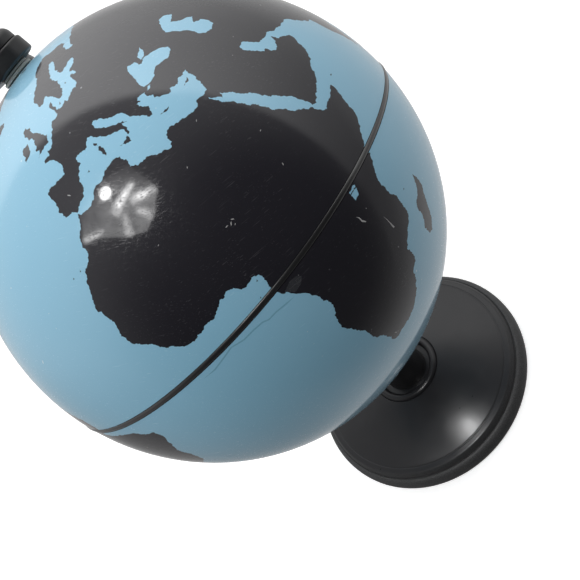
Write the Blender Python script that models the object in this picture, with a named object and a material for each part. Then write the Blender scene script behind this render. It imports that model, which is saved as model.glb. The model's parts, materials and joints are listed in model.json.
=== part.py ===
"""Terrestrial desk globe: a sphere on a tilted polar axis, a half-meridian arm and a round weighted foot.

Frame: metres, +Z up, origin at the centre of the foot's underside.  The arm lies in the XZ plane, on
the +X side, and the north pole leans towards +X.  The sphere and the pole fittings are drawn along a
local Z that is the polar axis, and hang on an empty that tilts them and lifts them to the globe centre.
"""

import math

import bmesh
import bpy
from mathutils import Matrix

# ---------------------------------------------------------------- driving dimensions
GLOBE_RADIUS = 0.125
AXIS_TILT = math.radians(23.5)
CENTRE_HEIGHT = 0.2467
FOOT_RADIUS = 0.0900
ARM_GAP = 0.0048
GAP = 0.0003

# ---------------------------------------------------------------- modelling
SMOOTH_ANGLE = math.radians(35)
MERGE_DISTANCE = 0.000001
CUT_MARGIN = 0.001

# ---------------------------------------------------------------- sphere
SHELL_WALL = 0.0018
BAND_HALF_WIDTH = 0.0012
BAND_PROUD = 0.0004
BAND_THICKNESS = 0.0008
JOINING_RING_HALF_WIDTH = 0.008
JOINING_RING_WALL = 0.0015
JOINING_RING_GLUE_GAP = 0.0009
POLE_HOLE_RADIUS = 0.006
SPHERE_SIDES = 48
OUTER_ARC_STEPS = 11
INNER_ARC_STEPS = 8

BAND_RADIUS = GLOBE_RADIUS + BAND_PROUD
BAND_INNER_RADIUS = BAND_RADIUS - BAND_THICKNESS
REBATE_RADIUS = BAND_INNER_RADIUS - GAP
REBATE_HALF_WIDTH = BAND_HALF_WIDTH + GAP
INNER_RADIUS = GLOBE_RADIUS - SHELL_WALL

# ---------------------------------------------------------------- pole bearings, from the centre outwards
PIVOT_RADIUS = 0.003
BEARING_CLEARANCE = 0.0001
BUSH_SHANK_CLEARANCE = 0.0004
BUSH_SHANK_RADIUS = POLE_HOLE_RADIUS - BUSH_SHANK_CLEARANCE
BUSH_FLANGE_RADIUS = 0.009
BUSH_FLANGE_CLEARANCE = 0.0002
BUSH_FLANGE_START = GLOBE_RADIUS + BUSH_FLANGE_CLEARANCE
BUSH_FLANGE_THICKNESS = 0.0015
BUSH_DEPTH = 0.007
BUSH_INNER_END = GLOBE_RADIUS - BUSH_DEPTH
LOCK_RING_RADIUS = 0.0105
LOCK_RING_THICKNESS = 0.0026
LOCK_RING_CLEARANCE = 0.001
LOCK_RING_END = INNER_RADIUS - LOCK_RING_CLEARANCE
WASHER_RADIUS = 0.008
WASHER_THICKNESS = 0.00105
WASHER_CLEARANCE = 0.00025
WASHER_START = BUSH_FLANGE_START + BUSH_FLANGE_THICKNESS + WASHER_CLEARANCE
PAD_START = WASHER_START + WASHER_THICKNESS + GAP
PAD_THICKNESS = 0.008
PAD_RADIUS = 0.0145
PAD_OVERLAP_RADIUS = PAD_RADIUS / 2
PAD_CHAMFER = 0.0012
PAD_END = PAD_START + PAD_THICKNESS
SCREW_DEPTH = 0.0055
SCREW_TIP = GLOBE_RADIUS - SCREW_DEPTH
SCREW_TIP_CHAMFER = PIVOT_RADIUS / 4
SCREW_HEAD_RADIUS = 0.006
SCREW_HEAD_THICKNESS = 0.003
CAP_START = PAD_END + GAP
BEARING_SIDES = 24
CAP_ARC_STEPS = 4
NORTH_CAP_RADIUS = 0.0132
NORTH_CAP_HEIGHT = 0.0085
SOUTH_CAP_RADIUS = 0.0110
SOUTH_CAP_HEIGHT = 0.006
CAP_FLAT_SHARE = 1 / 3
CAP_SKIRT_SHARE = 1 / 3
CAP_CAVITY_RADIUS = SCREW_HEAD_RADIUS + 2 * GAP
CAP_CAVITY_DEPTH = SCREW_HEAD_THICKNESS + 2 * GAP

# ---------------------------------------------------------------- meridian arm
ARM_INNER_RADIUS = GLOBE_RADIUS + ARM_GAP
ARM_THICKNESS = 0.006
ARM_OUTER_RADIUS = ARM_INNER_RADIUS + ARM_THICKNESS
ARM_HALF_WIDTH = 0.0075
ARM_CHAMFER = 0.0018
ARM_STEPS = 32
ARM_BOTTOM = CENTRE_HEIGHT - ARM_OUTER_RADIUS

# ---------------------------------------------------------------- pedestal and the arm's tenon in it
NECK_LENGTH = 0.0075
PEDESTAL_TOP = ARM_BOTTOM - NECK_LENGTH
PEDESTAL_TOP_RADIUS = 0.0132
PEDESTAL_FOOT_RADIUS = 0.0176
PEDESTAL_FLARE = 1.4
PEDESTAL_WALL = 0.003
PEDESTAL_STEPS = 6
TENON_RADIUS = 0.009
TENON_LENGTH = 0.032
TENON_BOTTOM = PEDESTAL_TOP + GAP - TENON_LENGTH
SOCKET_STEP = 0.001
SHOULDER_HEIGHT = 0.003
NECK_RADIUS = 0.0065
NECK_OVERLAP = 0.003
NECK_TOP = ARM_BOTTOM + NECK_OVERLAP
ROUND_SIDES = 32

# ---------------------------------------------------------------- tie bolt
BOLT_RADIUS = 0.003
BOLT_HOLE_RADIUS = BOLT_RADIUS + GAP
HEX_RADIUS = 0.00577
HEX_HALF_FLATS = HEX_RADIUS * math.cos(math.pi / 6)
NUT_THICKNESS = 0.005
NUT_SETBACK = 0.008
NUT_BOTTOM = TENON_BOTTOM + NUT_SETBACK
BOLT_OVERRUN = 0.004
BOLT_TOP = NUT_BOTTOM + NUT_THICKNESS + BOLT_OVERRUN
BOLT_END_CLEARANCE = 0.001
BOLT_HEAD_THICKNESS = 0.004
TIE_WASHER_RADIUS = 0.010
TIE_WASHER_THICKNESS = 0.0012

# ---------------------------------------------------------------- foot, outside
RIM_BOTTOM = 0.0008
RIM_WALL_TOP = 0.003
SHOULDER_GROOVE_RADIUS = 0.0844
SHOULDER_GROOVE_HEIGHT = 0.0110
SHOULDER_ROUND_WIDTH = 0.0034
GROOVE_DEPTH = 0.0005
DOME_EDGE_RADIUS = 0.077
DOME_START_RADIUS = 0.0280
DOME_START_HEIGHT = 0.0278
DOME_CURVE_RADIUS = 0.243
SEAT_HEIGHT = 0.0262
FOOT_SIDES = 40
WALL_ARC_STEPS = 3
SHOULDER_ARC_STEPS = 3
DOME_STEPS = 4

# ---------------------------------------------------------------- foot, inside
FOOT_WALL = 0.0024
BOSS_RADIUS = 0.012
BOSS_BOTTOM = 0.0173
COLLAR_INNER_RADIUS = 0.0216
COLLAR_CREST_HEIGHT = 0.0305
COLLAR_ARC_STEPS = 5
COVER_RADIUS = 0.0866
COVER_BOTTOM = 0.0017
COVER_THICKNESS = 0.0022
COVER_TOP = COVER_BOTTOM + COVER_THICKNESS
FELT_RADIUS = 0.084
FELT_THICKNESS = COVER_BOTTOM - GAP
WEIGHT_RADIUS = 0.060
WEIGHT_BOTTOM = 0.0062
WEIGHT_TOP = BOSS_BOTTOM - GAP
WEIGHT_CHAMFER = 0.0015
COUNTERBORE_RADIUS = 0.0115
COUNTERBORE_TOP = 0.0115
POST_COUNT = 4
POST_CIRCLE_RADIUS = 0.0715
POST_RADIUS = 0.0042
POST_BOTTOM = COVER_TOP + GAP
POST_TOP = 0.0165
POST_HOLE_TOP = 0.0135
COVER_SCREW_RADIUS = 0.0015
COVER_SCREW_HOLE = COVER_SCREW_RADIUS + GAP
COVER_SCREW_HEAD_RADIUS = 0.0028
COVER_SCREW_HEAD_DEPTH = 0.0012
COVER_SCREW_TOP = 0.0125
SCREW_SIDES = 12

# ---------------------------------------------------------------- colours
BLUE_SHELL = (0.20, 0.55, 0.72)
BLACK_GLOSS = (0.010, 0.011, 0.012)
BLACK_SATIN = (0.014, 0.014, 0.015)
WHITE_NYLON = (0.72, 0.70, 0.64)
BRIGHT_STEEL = (0.56, 0.57, 0.58)
GREY_IRON = (0.11, 0.11, 0.115)
DARK_FELT = (0.018, 0.019, 0.020)


# ---------------------------------------------------------------- helpers
def clear_scene():
    for item in list(bpy.data.objects):
        bpy.data.objects.remove(item, do_unlink=True)


def make_material(name, colour, roughness, metallic=0.0):
    material = bpy.data.materials.new(name)
    material.use_nodes = True
    shader = material.node_tree.nodes["Principled BSDF"]
    shader.inputs["Base Color"].default_value = (*colour, 1.0)
    shader.inputs["Roughness"].default_value = roughness
    shader.inputs["Metallic"].default_value = metallic
    material.diffuse_color = (*colour, 1.0)
    return material


def make_object(name, mesh_builder, material=None, parent=None):
    """Turn a bmesh into a smooth-shaded object, and free the bmesh."""
    bmesh.ops.recalc_face_normals(mesh_builder, faces=mesh_builder.faces)
    mesh = bpy.data.meshes.new(name)
    mesh_builder.to_mesh(mesh)
    mesh_builder.free()
    mesh.shade_smooth()
    mesh.set_sharp_from_angle(angle=SMOOTH_ANGLE)
    if material is not None:
        mesh.materials.append(material)
    item = bpy.data.objects.new(name, mesh)
    bpy.context.collection.objects.link(item)
    item.parent = parent
    return item


def turned_mesh(profile, sides):
    """Spin a closed (radius, height) outline a full turn about Z.  An outline may end on the axis."""
    mesh_builder = bmesh.new()
    corners = [mesh_builder.verts.new((radius, 0.0, height)) for radius, height in profile]
    on_axis = profile[0][0] == 0.0 and profile[-1][0] == 0.0
    last = len(corners) - 1 if on_axis else len(corners)
    edges = [mesh_builder.edges.new((corners[i], corners[(i + 1) % len(corners)])) for i in range(last)]
    bmesh.ops.spin(
        mesh_builder, geom=corners + edges, cent=(0, 0, 0), axis=(0, 0, 1),
        angle=2 * math.pi, steps=sides, use_merge=True,
    )
    bmesh.ops.remove_doubles(mesh_builder, verts=mesh_builder.verts, dist=MERGE_DISTANCE)
    return mesh_builder


def turned(name, profile, sides, material=None, parent=None):
    return make_object(name, turned_mesh(profile, sides), material, parent)


def disc_profile(radius, bottom, top):
    return [(0.0, bottom), (radius, bottom), (radius, top), (0.0, top)]


def ring_profile(inner, outer, bottom, top):
    return [(inner, bottom), (outer, bottom), (outer, top), (inner, top)]


def arc(centre, radius, start, end, steps):
    """Points on a circular arc in the (radius, height) plane; angles in radians from +radius."""
    points = []
    for i in range(steps + 1):
        angle = start + (end - start) * i / steps
        points.append((centre[0] + radius * math.cos(angle), centre[1] + radius * math.sin(angle)))
    return points


def mirrored(profile, side):
    """The profile on the north side (+1) or flipped to the south side (-1)."""
    return [(radius, side * height) for radius, height in profile]


def hexagon(name, height_range, bore_radius=None, material=None):
    """Hexagonal prism about Z, with a round bore when bore_radius is given."""
    mesh_builder = bmesh.new()
    bottom, top = height_range
    bmesh.ops.create_cone(
        mesh_builder, cap_ends=True, segments=6,
        radius1=HEX_RADIUS, radius2=HEX_RADIUS, depth=top - bottom,
    )
    bmesh.ops.translate(mesh_builder, verts=mesh_builder.verts, vec=(0, 0, (bottom + top) / 2))
    item = make_object(name, mesh_builder, material)
    if bore_radius is not None:
        profile = disc_profile(bore_radius, bottom - CUT_MARGIN, top + CUT_MARGIN)
        bore = turned(name + "_bore", profile, SCREW_SIDES)
        combine(item, bore, "DIFFERENCE")
    return item


def combine(target, operand, operation):
    """Boolean the operand into the target, and keep the operand as a hidden guide."""
    modifier = target.modifiers.new(operand.name, "BOOLEAN")
    modifier.operation = operation
    modifier.solver = "EXACT"
    modifier.object = operand
    operand.hide_render = True
    operand.display_type = "WIRE"


def around_post_circle():
    """Centres of the cover's screws, half a step off the X axis."""
    for i in range(POST_COUNT):
        angle = 2 * math.pi * (i + 0.5) / POST_COUNT
        yield POST_CIRCLE_RADIUS * math.cos(angle), POST_CIRCLE_RADIUS * math.sin(angle)


def post_cylinders(name, radius, bottom, top):
    """One mesh holding a cylinder at each cover screw."""
    mesh_builder = bmesh.new()
    for x, y in around_post_circle():
        made = bmesh.ops.create_cone(
            mesh_builder, cap_ends=True, segments=SCREW_SIDES,
            radius1=radius, radius2=radius, depth=top - bottom,
        )
        bmesh.ops.translate(mesh_builder, verts=made["verts"], vec=(x, y, (bottom + top) / 2))
    return make_object(name, mesh_builder)


# ---------------------------------------------------------------- sphere
def hemisphere(name, side, material, parent):
    """Half shell with a rebate for the band along its seam and a round hole at its pole."""
    start = math.asin(REBATE_HALF_WIDTH / GLOBE_RADIUS)
    end = math.acos(POLE_HOLE_RADIUS / GLOBE_RADIUS)
    outer = arc((0, 0), GLOBE_RADIUS, start, end, OUTER_ARC_STEPS)
    start = math.asin(GAP / 2 / INNER_RADIUS)
    end = math.acos(POLE_HOLE_RADIUS / INNER_RADIUS)
    inner = arc((0, 0), INNER_RADIUS, end, start, INNER_ARC_STEPS)
    rebate = [(REBATE_RADIUS, GAP / 2), (REBATE_RADIUS, REBATE_HALF_WIDTH)]
    return turned(name, mirrored(rebate + outer + inner, side), SPHERE_SIDES, material, parent)


def equator_band(material, parent):
    """Black strip that hides the seam and stands a little proud of the sphere."""
    chamfer = BAND_PROUD / 2
    profile = [
        (BAND_INNER_RADIUS, -BAND_HALF_WIDTH),
        (BAND_RADIUS - chamfer, -BAND_HALF_WIDTH),
        (BAND_RADIUS, -BAND_HALF_WIDTH + chamfer),
        (BAND_RADIUS, BAND_HALF_WIDTH - chamfer),
        (BAND_RADIUS - chamfer, BAND_HALF_WIDTH),
        (BAND_INNER_RADIUS, BAND_HALF_WIDTH),
    ]
    return turned("equator_band", profile, SPHERE_SIDES, material, parent)


def joining_ring(material, parent):
    """Curved strip inside the seam that both half shells are glued to."""
    outer_radius = INNER_RADIUS - JOINING_RING_GLUE_GAP
    angle = math.asin(JOINING_RING_HALF_WIDTH / outer_radius)
    outer = arc((0, 0), outer_radius, -angle, angle, 2)
    inner = arc((0, 0), outer_radius - JOINING_RING_WALL, angle, -angle, 2)
    return turned("equator_joining_ring", outer + inner, SPHERE_SIDES, material, parent)


# ---------------------------------------------------------------- pole bearings
def pole_bush(name, side, material, parent):
    """Flanged plastic bush in the shell's polar hole; the pivot screw's plain tip runs in it."""
    bore = PIVOT_RADIUS + BEARING_CLEARANCE
    flange_end = BUSH_FLANGE_START + BUSH_FLANGE_THICKNESS
    profile = [
        (bore, BUSH_INNER_END),
        (BUSH_SHANK_RADIUS, BUSH_INNER_END),
        (BUSH_SHANK_RADIUS, BUSH_FLANGE_START),
        (BUSH_FLANGE_RADIUS, BUSH_FLANGE_START),
        (BUSH_FLANGE_RADIUS, flange_end),
        (bore, flange_end),
    ]
    return turned(name, mirrored(profile, side), BEARING_SIDES, material, parent)


def lock_ring(name, side, material, parent):
    """Ring inside the shell that clamps the bush against it."""
    profile = ring_profile(
        BUSH_SHANK_RADIUS + GAP, LOCK_RING_RADIUS, LOCK_RING_END - LOCK_RING_THICKNESS, LOCK_RING_END,
    )
    return turned(name, mirrored(profile, side), BEARING_SIDES, material, parent)


def thrust_washer(name, side, material, parent):
    profile = ring_profile(PIVOT_RADIUS + GAP, WASHER_RADIUS, WASHER_START, WASHER_START + WASHER_THICKNESS)
    return turned(name, mirrored(profile, side), BEARING_SIDES, material, parent)


def pivot_screw(name, side, material, parent):
    """Screw through the arm's end pad, with a plain chamfered tip."""
    profile = [
        (0.0, SCREW_TIP),
        (PIVOT_RADIUS - SCREW_TIP_CHAMFER, SCREW_TIP),
        (PIVOT_RADIUS, SCREW_TIP + SCREW_TIP_CHAMFER),
        (PIVOT_RADIUS, CAP_START),
        (SCREW_HEAD_RADIUS, CAP_START),
        (SCREW_HEAD_RADIUS, CAP_START + SCREW_HEAD_THICKNESS),
        (0.0, CAP_START + SCREW_HEAD_THICKNESS),
    ]
    return turned(name, mirrored(profile, side), BEARING_SIDES, material, parent)


def pole_cap(name, side, radius, height, material, parent):
    """Domed cap pressed over the pivot screw's head."""
    flat = radius * CAP_FLAT_SHARE
    skirt = height * CAP_SKIRT_SHARE
    dome = []
    for i in range(CAP_ARC_STEPS + 1):
        angle = math.pi / 2 * i / CAP_ARC_STEPS
        across = flat + (radius - flat) * math.cos(angle)
        dome.append((across, CAP_START + skirt + (height - skirt) * math.sin(angle)))
    profile = [(0.0, CAP_START + CAP_CAVITY_DEPTH), (CAP_CAVITY_RADIUS, CAP_START + CAP_CAVITY_DEPTH)]
    profile += [(CAP_CAVITY_RADIUS, CAP_START), (radius, CAP_START)]
    profile += dome + [(0.0, CAP_START + height)]
    return turned(name, mirrored(profile, side), BEARING_SIDES, material, parent)


# ---------------------------------------------------------------- arm
def arm_strip(material, parent):
    """Curved strip from the north pad, over the +X side, to the south pad."""
    pad_overlap = math.asin(PAD_OVERLAP_RADIUS / ARM_INNER_RADIUS)
    section = [
        (ARM_INNER_RADIUS, -ARM_HALF_WIDTH),
        (ARM_OUTER_RADIUS - ARM_CHAMFER, -ARM_HALF_WIDTH),
        (ARM_OUTER_RADIUS, -ARM_HALF_WIDTH + ARM_CHAMFER),
        (ARM_OUTER_RADIUS, ARM_HALF_WIDTH - ARM_CHAMFER),
        (ARM_OUTER_RADIUS - ARM_CHAMFER, ARM_HALF_WIDTH),
        (ARM_INNER_RADIUS, ARM_HALF_WIDTH),
    ]
    mesh_builder = bmesh.new()
    corners = [mesh_builder.verts.new((0.0, across, radius)) for radius, across in section]
    edges = [mesh_builder.edges.new((corners[i - 1], corners[i])) for i in range(len(corners))]
    bmesh.ops.rotate(
        mesh_builder, verts=corners, cent=(0, 0, 0), matrix=Matrix.Rotation(pad_overlap, 3, "Y"),
    )
    bmesh.ops.spin(
        mesh_builder, geom=corners + edges, cent=(0, 0, 0), axis=(0, 1, 0),
        angle=math.pi - 2 * pad_overlap, steps=ARM_STEPS,
    )
    bmesh.ops.holes_fill(mesh_builder, edges=mesh_builder.edges, sides=0)
    return make_object("meridian_arm", mesh_builder, material, parent)


def end_pad(name, side, parent):
    """Round end of the arm, with the pivot screw's hole."""
    profile = [
        (PIVOT_RADIUS + GAP, PAD_START),
        (PAD_RADIUS, PAD_START),
        (PAD_RADIUS, PAD_END - PAD_CHAMFER),
        (PAD_RADIUS - PAD_CHAMFER, PAD_END),
        (PIVOT_RADIUS + GAP, PAD_END),
    ]
    return turned(name, mirrored(profile, side), BEARING_SIDES, None, parent)


def nut_slot():
    """Side slot in the tenon that the tie nut slides into."""
    mesh_builder = bmesh.new()
    bmesh.ops.create_cube(mesh_builder, size=1.0)
    reach = TENON_RADIUS + CUT_MARGIN
    width = 2 * (HEX_HALF_FLATS + GAP)
    length = reach + HEX_RADIUS + GAP
    height = NUT_THICKNESS + 2 * GAP
    bmesh.ops.scale(mesh_builder, verts=mesh_builder.verts, vec=(width, length, height))
    centre = (0.0, reach - length / 2, NUT_BOTTOM + NUT_THICKNESS / 2)
    bmesh.ops.translate(mesh_builder, verts=mesh_builder.verts, vec=centre)
    return make_object("nut_slot_guide", mesh_builder)


def arm_tenon():
    """Upright tenon and shoulder below the arm's lowest point, with a neck that runs into the strip."""
    shoulder_bottom = PEDESTAL_TOP + GAP
    bore_top = BOLT_TOP + BOLT_END_CLEARANCE
    profile = [
        (0.0, bore_top),
        (BOLT_HOLE_RADIUS, bore_top),
        (BOLT_HOLE_RADIUS, TENON_BOTTOM),
        (TENON_RADIUS, TENON_BOTTOM),
        (TENON_RADIUS, shoulder_bottom),
        (PEDESTAL_TOP_RADIUS, shoulder_bottom),
        (PEDESTAL_TOP_RADIUS, shoulder_bottom + SHOULDER_HEIGHT),
        (NECK_RADIUS, NECK_TOP),
        (0.0, NECK_TOP),
    ]
    tenon = turned("arm_tenon_guide", profile, ROUND_SIDES)
    combine(tenon, nut_slot(), "DIFFERENCE")
    return tenon


def meridian_arm(material, parent):
    arm = arm_strip(material, parent)
    for name, side in (("north_pad_guide", 1), ("south_pad_guide", -1)):
        combine(arm, end_pad(name, side, parent), "UNION")
    combine(arm, arm_tenon(), "UNION")
    return arm


# ---------------------------------------------------------------- pedestal and foot
def pedestal(material):
    """Hollow stem that flares towards its foot; its upper bore takes the arm's tenon."""
    bottom = SEAT_HEIGHT + GAP
    height = PEDESTAL_TOP - bottom
    outer = []
    for i in range(PEDESTAL_STEPS + 1):
        share = i / PEDESTAL_STEPS
        flare = (PEDESTAL_FOOT_RADIUS - PEDESTAL_TOP_RADIUS) * (1 - share) ** PEDESTAL_FLARE
        outer.append((PEDESTAL_TOP_RADIUS + flare, bottom + height * share))
    socket_radius = TENON_RADIUS + GAP
    socket_bottom = TENON_BOTTOM - GAP
    foot_bore = PEDESTAL_FOOT_RADIUS - PEDESTAL_WALL
    inner = [
        (socket_radius, PEDESTAL_TOP),
        (socket_radius, socket_bottom),
        (socket_radius + GAP, socket_bottom - SOCKET_STEP),
        (foot_bore, bottom),
    ]
    return turned("pedestal", outer + inner, ROUND_SIDES, material)


def dome_height(radius):
    """Height of the foot's shallow dome above the floor at a radius."""
    return DOME_START_HEIGHT - (radius ** 2 - DOME_START_RADIUS ** 2) / (2 * DOME_CURVE_RADIUS)


def quarter_round(start, end, steps):
    """Quarter of an ellipse that leaves start level and reaches end upright."""
    points = []
    for i in range(steps + 1):
        angle = math.pi / 2 * i / steps
        across = (end[0] - start[0]) * math.sin(angle)
        down = (start[1] - end[1]) * (1 - math.cos(angle))
        points.append((start[0] + across, start[1] - down))
    return points


def foot_outline():
    """Outer surface of the foot, from the tie bolt's hole outwards and down to the rim."""
    seat = [(BOLT_HOLE_RADIUS, SEAT_HEIGHT), (DOME_START_RADIUS, SEAT_HEIGHT)]
    dome = []
    for i in range(DOME_STEPS + 1):
        radius = DOME_START_RADIUS + (DOME_EDGE_RADIUS - DOME_START_RADIUS) * i / DOME_STEPS
        dome.append((radius, dome_height(radius)))
    edge_height = dome_height(DOME_EDGE_RADIUS)
    shoulder_height = edge_height - GROOVE_DEPTH / 2
    shoulder = [
        (DOME_EDGE_RADIUS + GROOVE_DEPTH, edge_height - GROOVE_DEPTH),
        (DOME_EDGE_RADIUS + 2 * GROOVE_DEPTH, shoulder_height),
    ]
    round_start = (SHOULDER_GROOVE_RADIUS - SHOULDER_ROUND_WIDTH, shoulder_height - GROOVE_DEPTH)
    groove_bottom = (SHOULDER_GROOVE_RADIUS, SHOULDER_GROOVE_HEIGHT)
    shoulder += quarter_round(round_start, groove_bottom, SHOULDER_ARC_STEPS)
    wall_start = (SHOULDER_GROOVE_RADIUS + 2 * GROOVE_DEPTH, SHOULDER_GROOVE_HEIGHT + GROOVE_DEPTH)
    wall = quarter_round(wall_start, (FOOT_RADIUS, RIM_WALL_TOP), WALL_ARC_STEPS)
    return seat + dome + shoulder + wall + [(FOOT_RADIUS, RIM_BOTTOM)]


def foot_lining():
    """Inner surface of the foot, from the rim upwards and in to the tie bolt's hole."""
    rim = [
        (COVER_RADIUS + 2 * GAP, RIM_BOTTOM),
        (COVER_RADIUS + 2 * GAP, COVER_TOP + GAP),
        (SHOULDER_GROOVE_RADIUS - FOOT_WALL, SHOULDER_GROOVE_HEIGHT - FOOT_WALL),
        (DOME_EDGE_RADIUS - FOOT_WALL, dome_height(DOME_EDGE_RADIUS) - FOOT_WALL),
    ]
    ceiling = []
    outer_end = DOME_EDGE_RADIUS - FOOT_WALL
    inner_end = DOME_START_RADIUS + FOOT_WALL
    for i in range(1, DOME_STEPS):
        radius = outer_end + (inner_end - outer_end) * i / (DOME_STEPS - 1)
        ceiling.append((radius, dome_height(radius) - FOOT_WALL))
    boss = [
        (DOME_START_RADIUS, SEAT_HEIGHT - FOOT_WALL),
        (BOSS_RADIUS, SEAT_HEIGHT - FOOT_WALL),
        (BOSS_RADIUS, BOSS_BOTTOM),
        (BOLT_HOLE_RADIUS, BOSS_BOTTOM),
    ]
    return rim + ceiling + boss


def base_shell(material):
    shell = turned("base_shell", foot_outline() + foot_lining(), FOOT_SIDES, material)
    combine(shell, post_cylinders("post_guide", POST_RADIUS, POST_BOTTOM, POST_TOP), "UNION")
    combine(shell, post_cylinders("post_hole_guide", COVER_SCREW_HOLE, 0.0, POST_HOLE_TOP), "DIFFERENCE")
    return shell


def pedestal_collar(material):
    """Round-topped ring that frames the pedestal's foot."""
    outer = DOME_START_RADIUS - GAP
    bottom = SEAT_HEIGHT + GAP
    half_width = (outer - COLLAR_INNER_RADIUS) / 2
    spring = bottom + GAP
    crown = []
    for i in range(COLLAR_ARC_STEPS + 1):
        angle = math.pi * i / COLLAR_ARC_STEPS
        crown.append((
            COLLAR_INNER_RADIUS + half_width + half_width * math.cos(angle),
            spring + (COLLAR_CREST_HEIGHT - spring) * math.sin(angle),
        ))
    profile = [(COLLAR_INNER_RADIUS, bottom), (outer, bottom)] + crown
    return turned("pedestal_collar", profile, FOOT_SIDES, material)


def base_weight(material):
    """Cast disc that steadies the foot, counterbored below for the tie bolt's head."""
    profile = [
        (COUNTERBORE_RADIUS, WEIGHT_BOTTOM),
        (WEIGHT_RADIUS - WEIGHT_CHAMFER, WEIGHT_BOTTOM),
        (WEIGHT_RADIUS, WEIGHT_BOTTOM + WEIGHT_CHAMFER),
        (WEIGHT_RADIUS, WEIGHT_TOP - WEIGHT_CHAMFER),
        (WEIGHT_RADIUS - WEIGHT_CHAMFER, WEIGHT_TOP),
        (BOLT_HOLE_RADIUS, WEIGHT_TOP),
        (BOLT_HOLE_RADIUS, COUNTERBORE_TOP),
        (COUNTERBORE_RADIUS, COUNTERBORE_TOP),
    ]
    return turned("base_weight", profile, ROUND_SIDES, material)


def tie_bolt(material):
    """Long hexagon-headed bolt that draws the weight, foot, pedestal and arm together."""
    head_top = COUNTERBORE_TOP - TIE_WASHER_THICKNESS - 2 * GAP
    bolt = hexagon("tie_bolt", (head_top - BOLT_HEAD_THICKNESS, head_top), None, material)
    shank = turned("shank_guide", disc_profile(BOLT_RADIUS, head_top - GAP, BOLT_TOP), SCREW_SIDES)
    combine(bolt, shank, "UNION")
    return bolt


def tie_washer(material):
    top = COUNTERBORE_TOP - GAP
    profile = ring_profile(BOLT_HOLE_RADIUS, TIE_WASHER_RADIUS, top - TIE_WASHER_THICKNESS, top)
    return turned("tie_washer", profile, BEARING_SIDES, material)


def tie_nut(material):
    return hexagon("tie_nut", (NUT_BOTTOM, NUT_BOTTOM + NUT_THICKNESS), BOLT_HOLE_RADIUS, material)


def cover_screw_profile():
    """Countersunk screw, head downwards."""
    head_bottom = COVER_BOTTOM + GAP
    shank_start = head_bottom + COVER_SCREW_HEAD_DEPTH
    return [
        (0.0, head_bottom),
        (COVER_SCREW_HEAD_RADIUS, head_bottom),
        (COVER_SCREW_RADIUS, shank_start),
        (COVER_SCREW_RADIUS, COVER_SCREW_TOP),
        (0.0, COVER_SCREW_TOP),
    ]


def base_cover(material):
    """Flat disc that closes the foot, countersunk for its screws."""
    disc = disc_profile(COVER_RADIUS, COVER_BOTTOM, COVER_TOP)
    cover = turned("base_cover", disc, FOOT_SIDES, material)
    cut_bottom = COVER_BOTTOM - CUT_MARGIN
    cut_top = COVER_TOP + CUT_MARGIN
    sink_radius = COVER_SCREW_HEAD_RADIUS + 2 * GAP
    sink_top = COVER_BOTTOM + GAP + COVER_SCREW_HEAD_DEPTH
    profile = [
        (0.0, cut_bottom),
        (sink_radius, cut_bottom),
        (sink_radius, COVER_BOTTOM + GAP),
        (COVER_SCREW_HOLE, sink_top),
        (COVER_SCREW_HOLE, cut_top),
        (0.0, cut_top),
    ]
    for index, (x, y) in enumerate(around_post_circle()):
        sink = turned(f"countersink_guide_{index + 1}", profile, SCREW_SIDES)
        sink.location = (x, y, 0.0)
        combine(cover, sink, "DIFFERENCE")
    return cover


def cover_screws(material):
    """The four identical screws that hold the cover; they share one mesh."""
    first = None
    for index, (x, y) in enumerate(around_post_circle()):
        name = f"cover_screw_{index + 1}"
        if first is None:
            first = screw = turned(name, cover_screw_profile(), SCREW_SIDES, material)
        else:
            screw = bpy.data.objects.new(name, first.data)
            bpy.context.collection.objects.link(screw)
        screw.location = (x, y, 0.0)


def base_felt(material):
    return turned("base_felt", disc_profile(FELT_RADIUS, 0.0, FELT_THICKNESS), FOOT_SIDES, material)


# ---------------------------------------------------------------- assembly
def build():
    clear_scene()
    ocean = make_material("blue_shell", BLUE_SHELL, roughness=0.12)
    gloss = make_material("black_gloss", BLACK_GLOSS, roughness=0.18)
    satin = make_material("black_satin", BLACK_SATIN, roughness=0.35)
    nylon = make_material("white_nylon", WHITE_NYLON, roughness=0.45)
    steel = make_material("bright_steel", BRIGHT_STEEL, roughness=0.30, metallic=1.0)
    iron = make_material("grey_iron", GREY_IRON, roughness=0.60, metallic=0.8)
    felt = make_material("dark_felt", DARK_FELT, roughness=0.95)

    polar_axis = bpy.data.objects.new("polar_axis", None)
    bpy.context.collection.objects.link(polar_axis)
    polar_axis.location = (0.0, 0.0, CENTRE_HEIGHT)
    polar_axis.rotation_euler = (0.0, AXIS_TILT, 0.0)

    equator_band(gloss, polar_axis)
    joining_ring(nylon, polar_axis)
    for pole, side in (("north", 1), ("south", -1)):
        hemisphere(f"{pole}_hemisphere", side, ocean, polar_axis)
        pole_bush(f"{pole}_pole_bush", side, nylon, polar_axis)
        lock_ring(f"{pole}_lock_ring", side, nylon, polar_axis)
        thrust_washer(f"{pole}_thrust_washer", side, nylon, polar_axis)
        pivot_screw(f"{pole}_pivot_screw", side, steel, polar_axis)
    pole_cap("north_pole_cap", 1, NORTH_CAP_RADIUS, NORTH_CAP_HEIGHT, gloss, polar_axis)
    pole_cap("south_pole_cap", -1, SOUTH_CAP_RADIUS, SOUTH_CAP_HEIGHT, gloss, polar_axis)
    meridian_arm(satin, polar_axis)

    pedestal(satin)
    pedestal_collar(satin)
    base_shell(satin)
    base_weight(iron)
    tie_bolt(steel)
    tie_washer(steel)
    tie_nut(steel)
    base_cover(satin)
    cover_screws(steel)
    base_felt(felt)


build()
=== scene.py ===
import json
import math
import random

import bmesh
import bpy
import numpy as np
from mathutils import Matrix, Vector
from mathutils.geometry import delaunay_2d_cdt
from mathutils.kdtree import KDTree


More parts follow.
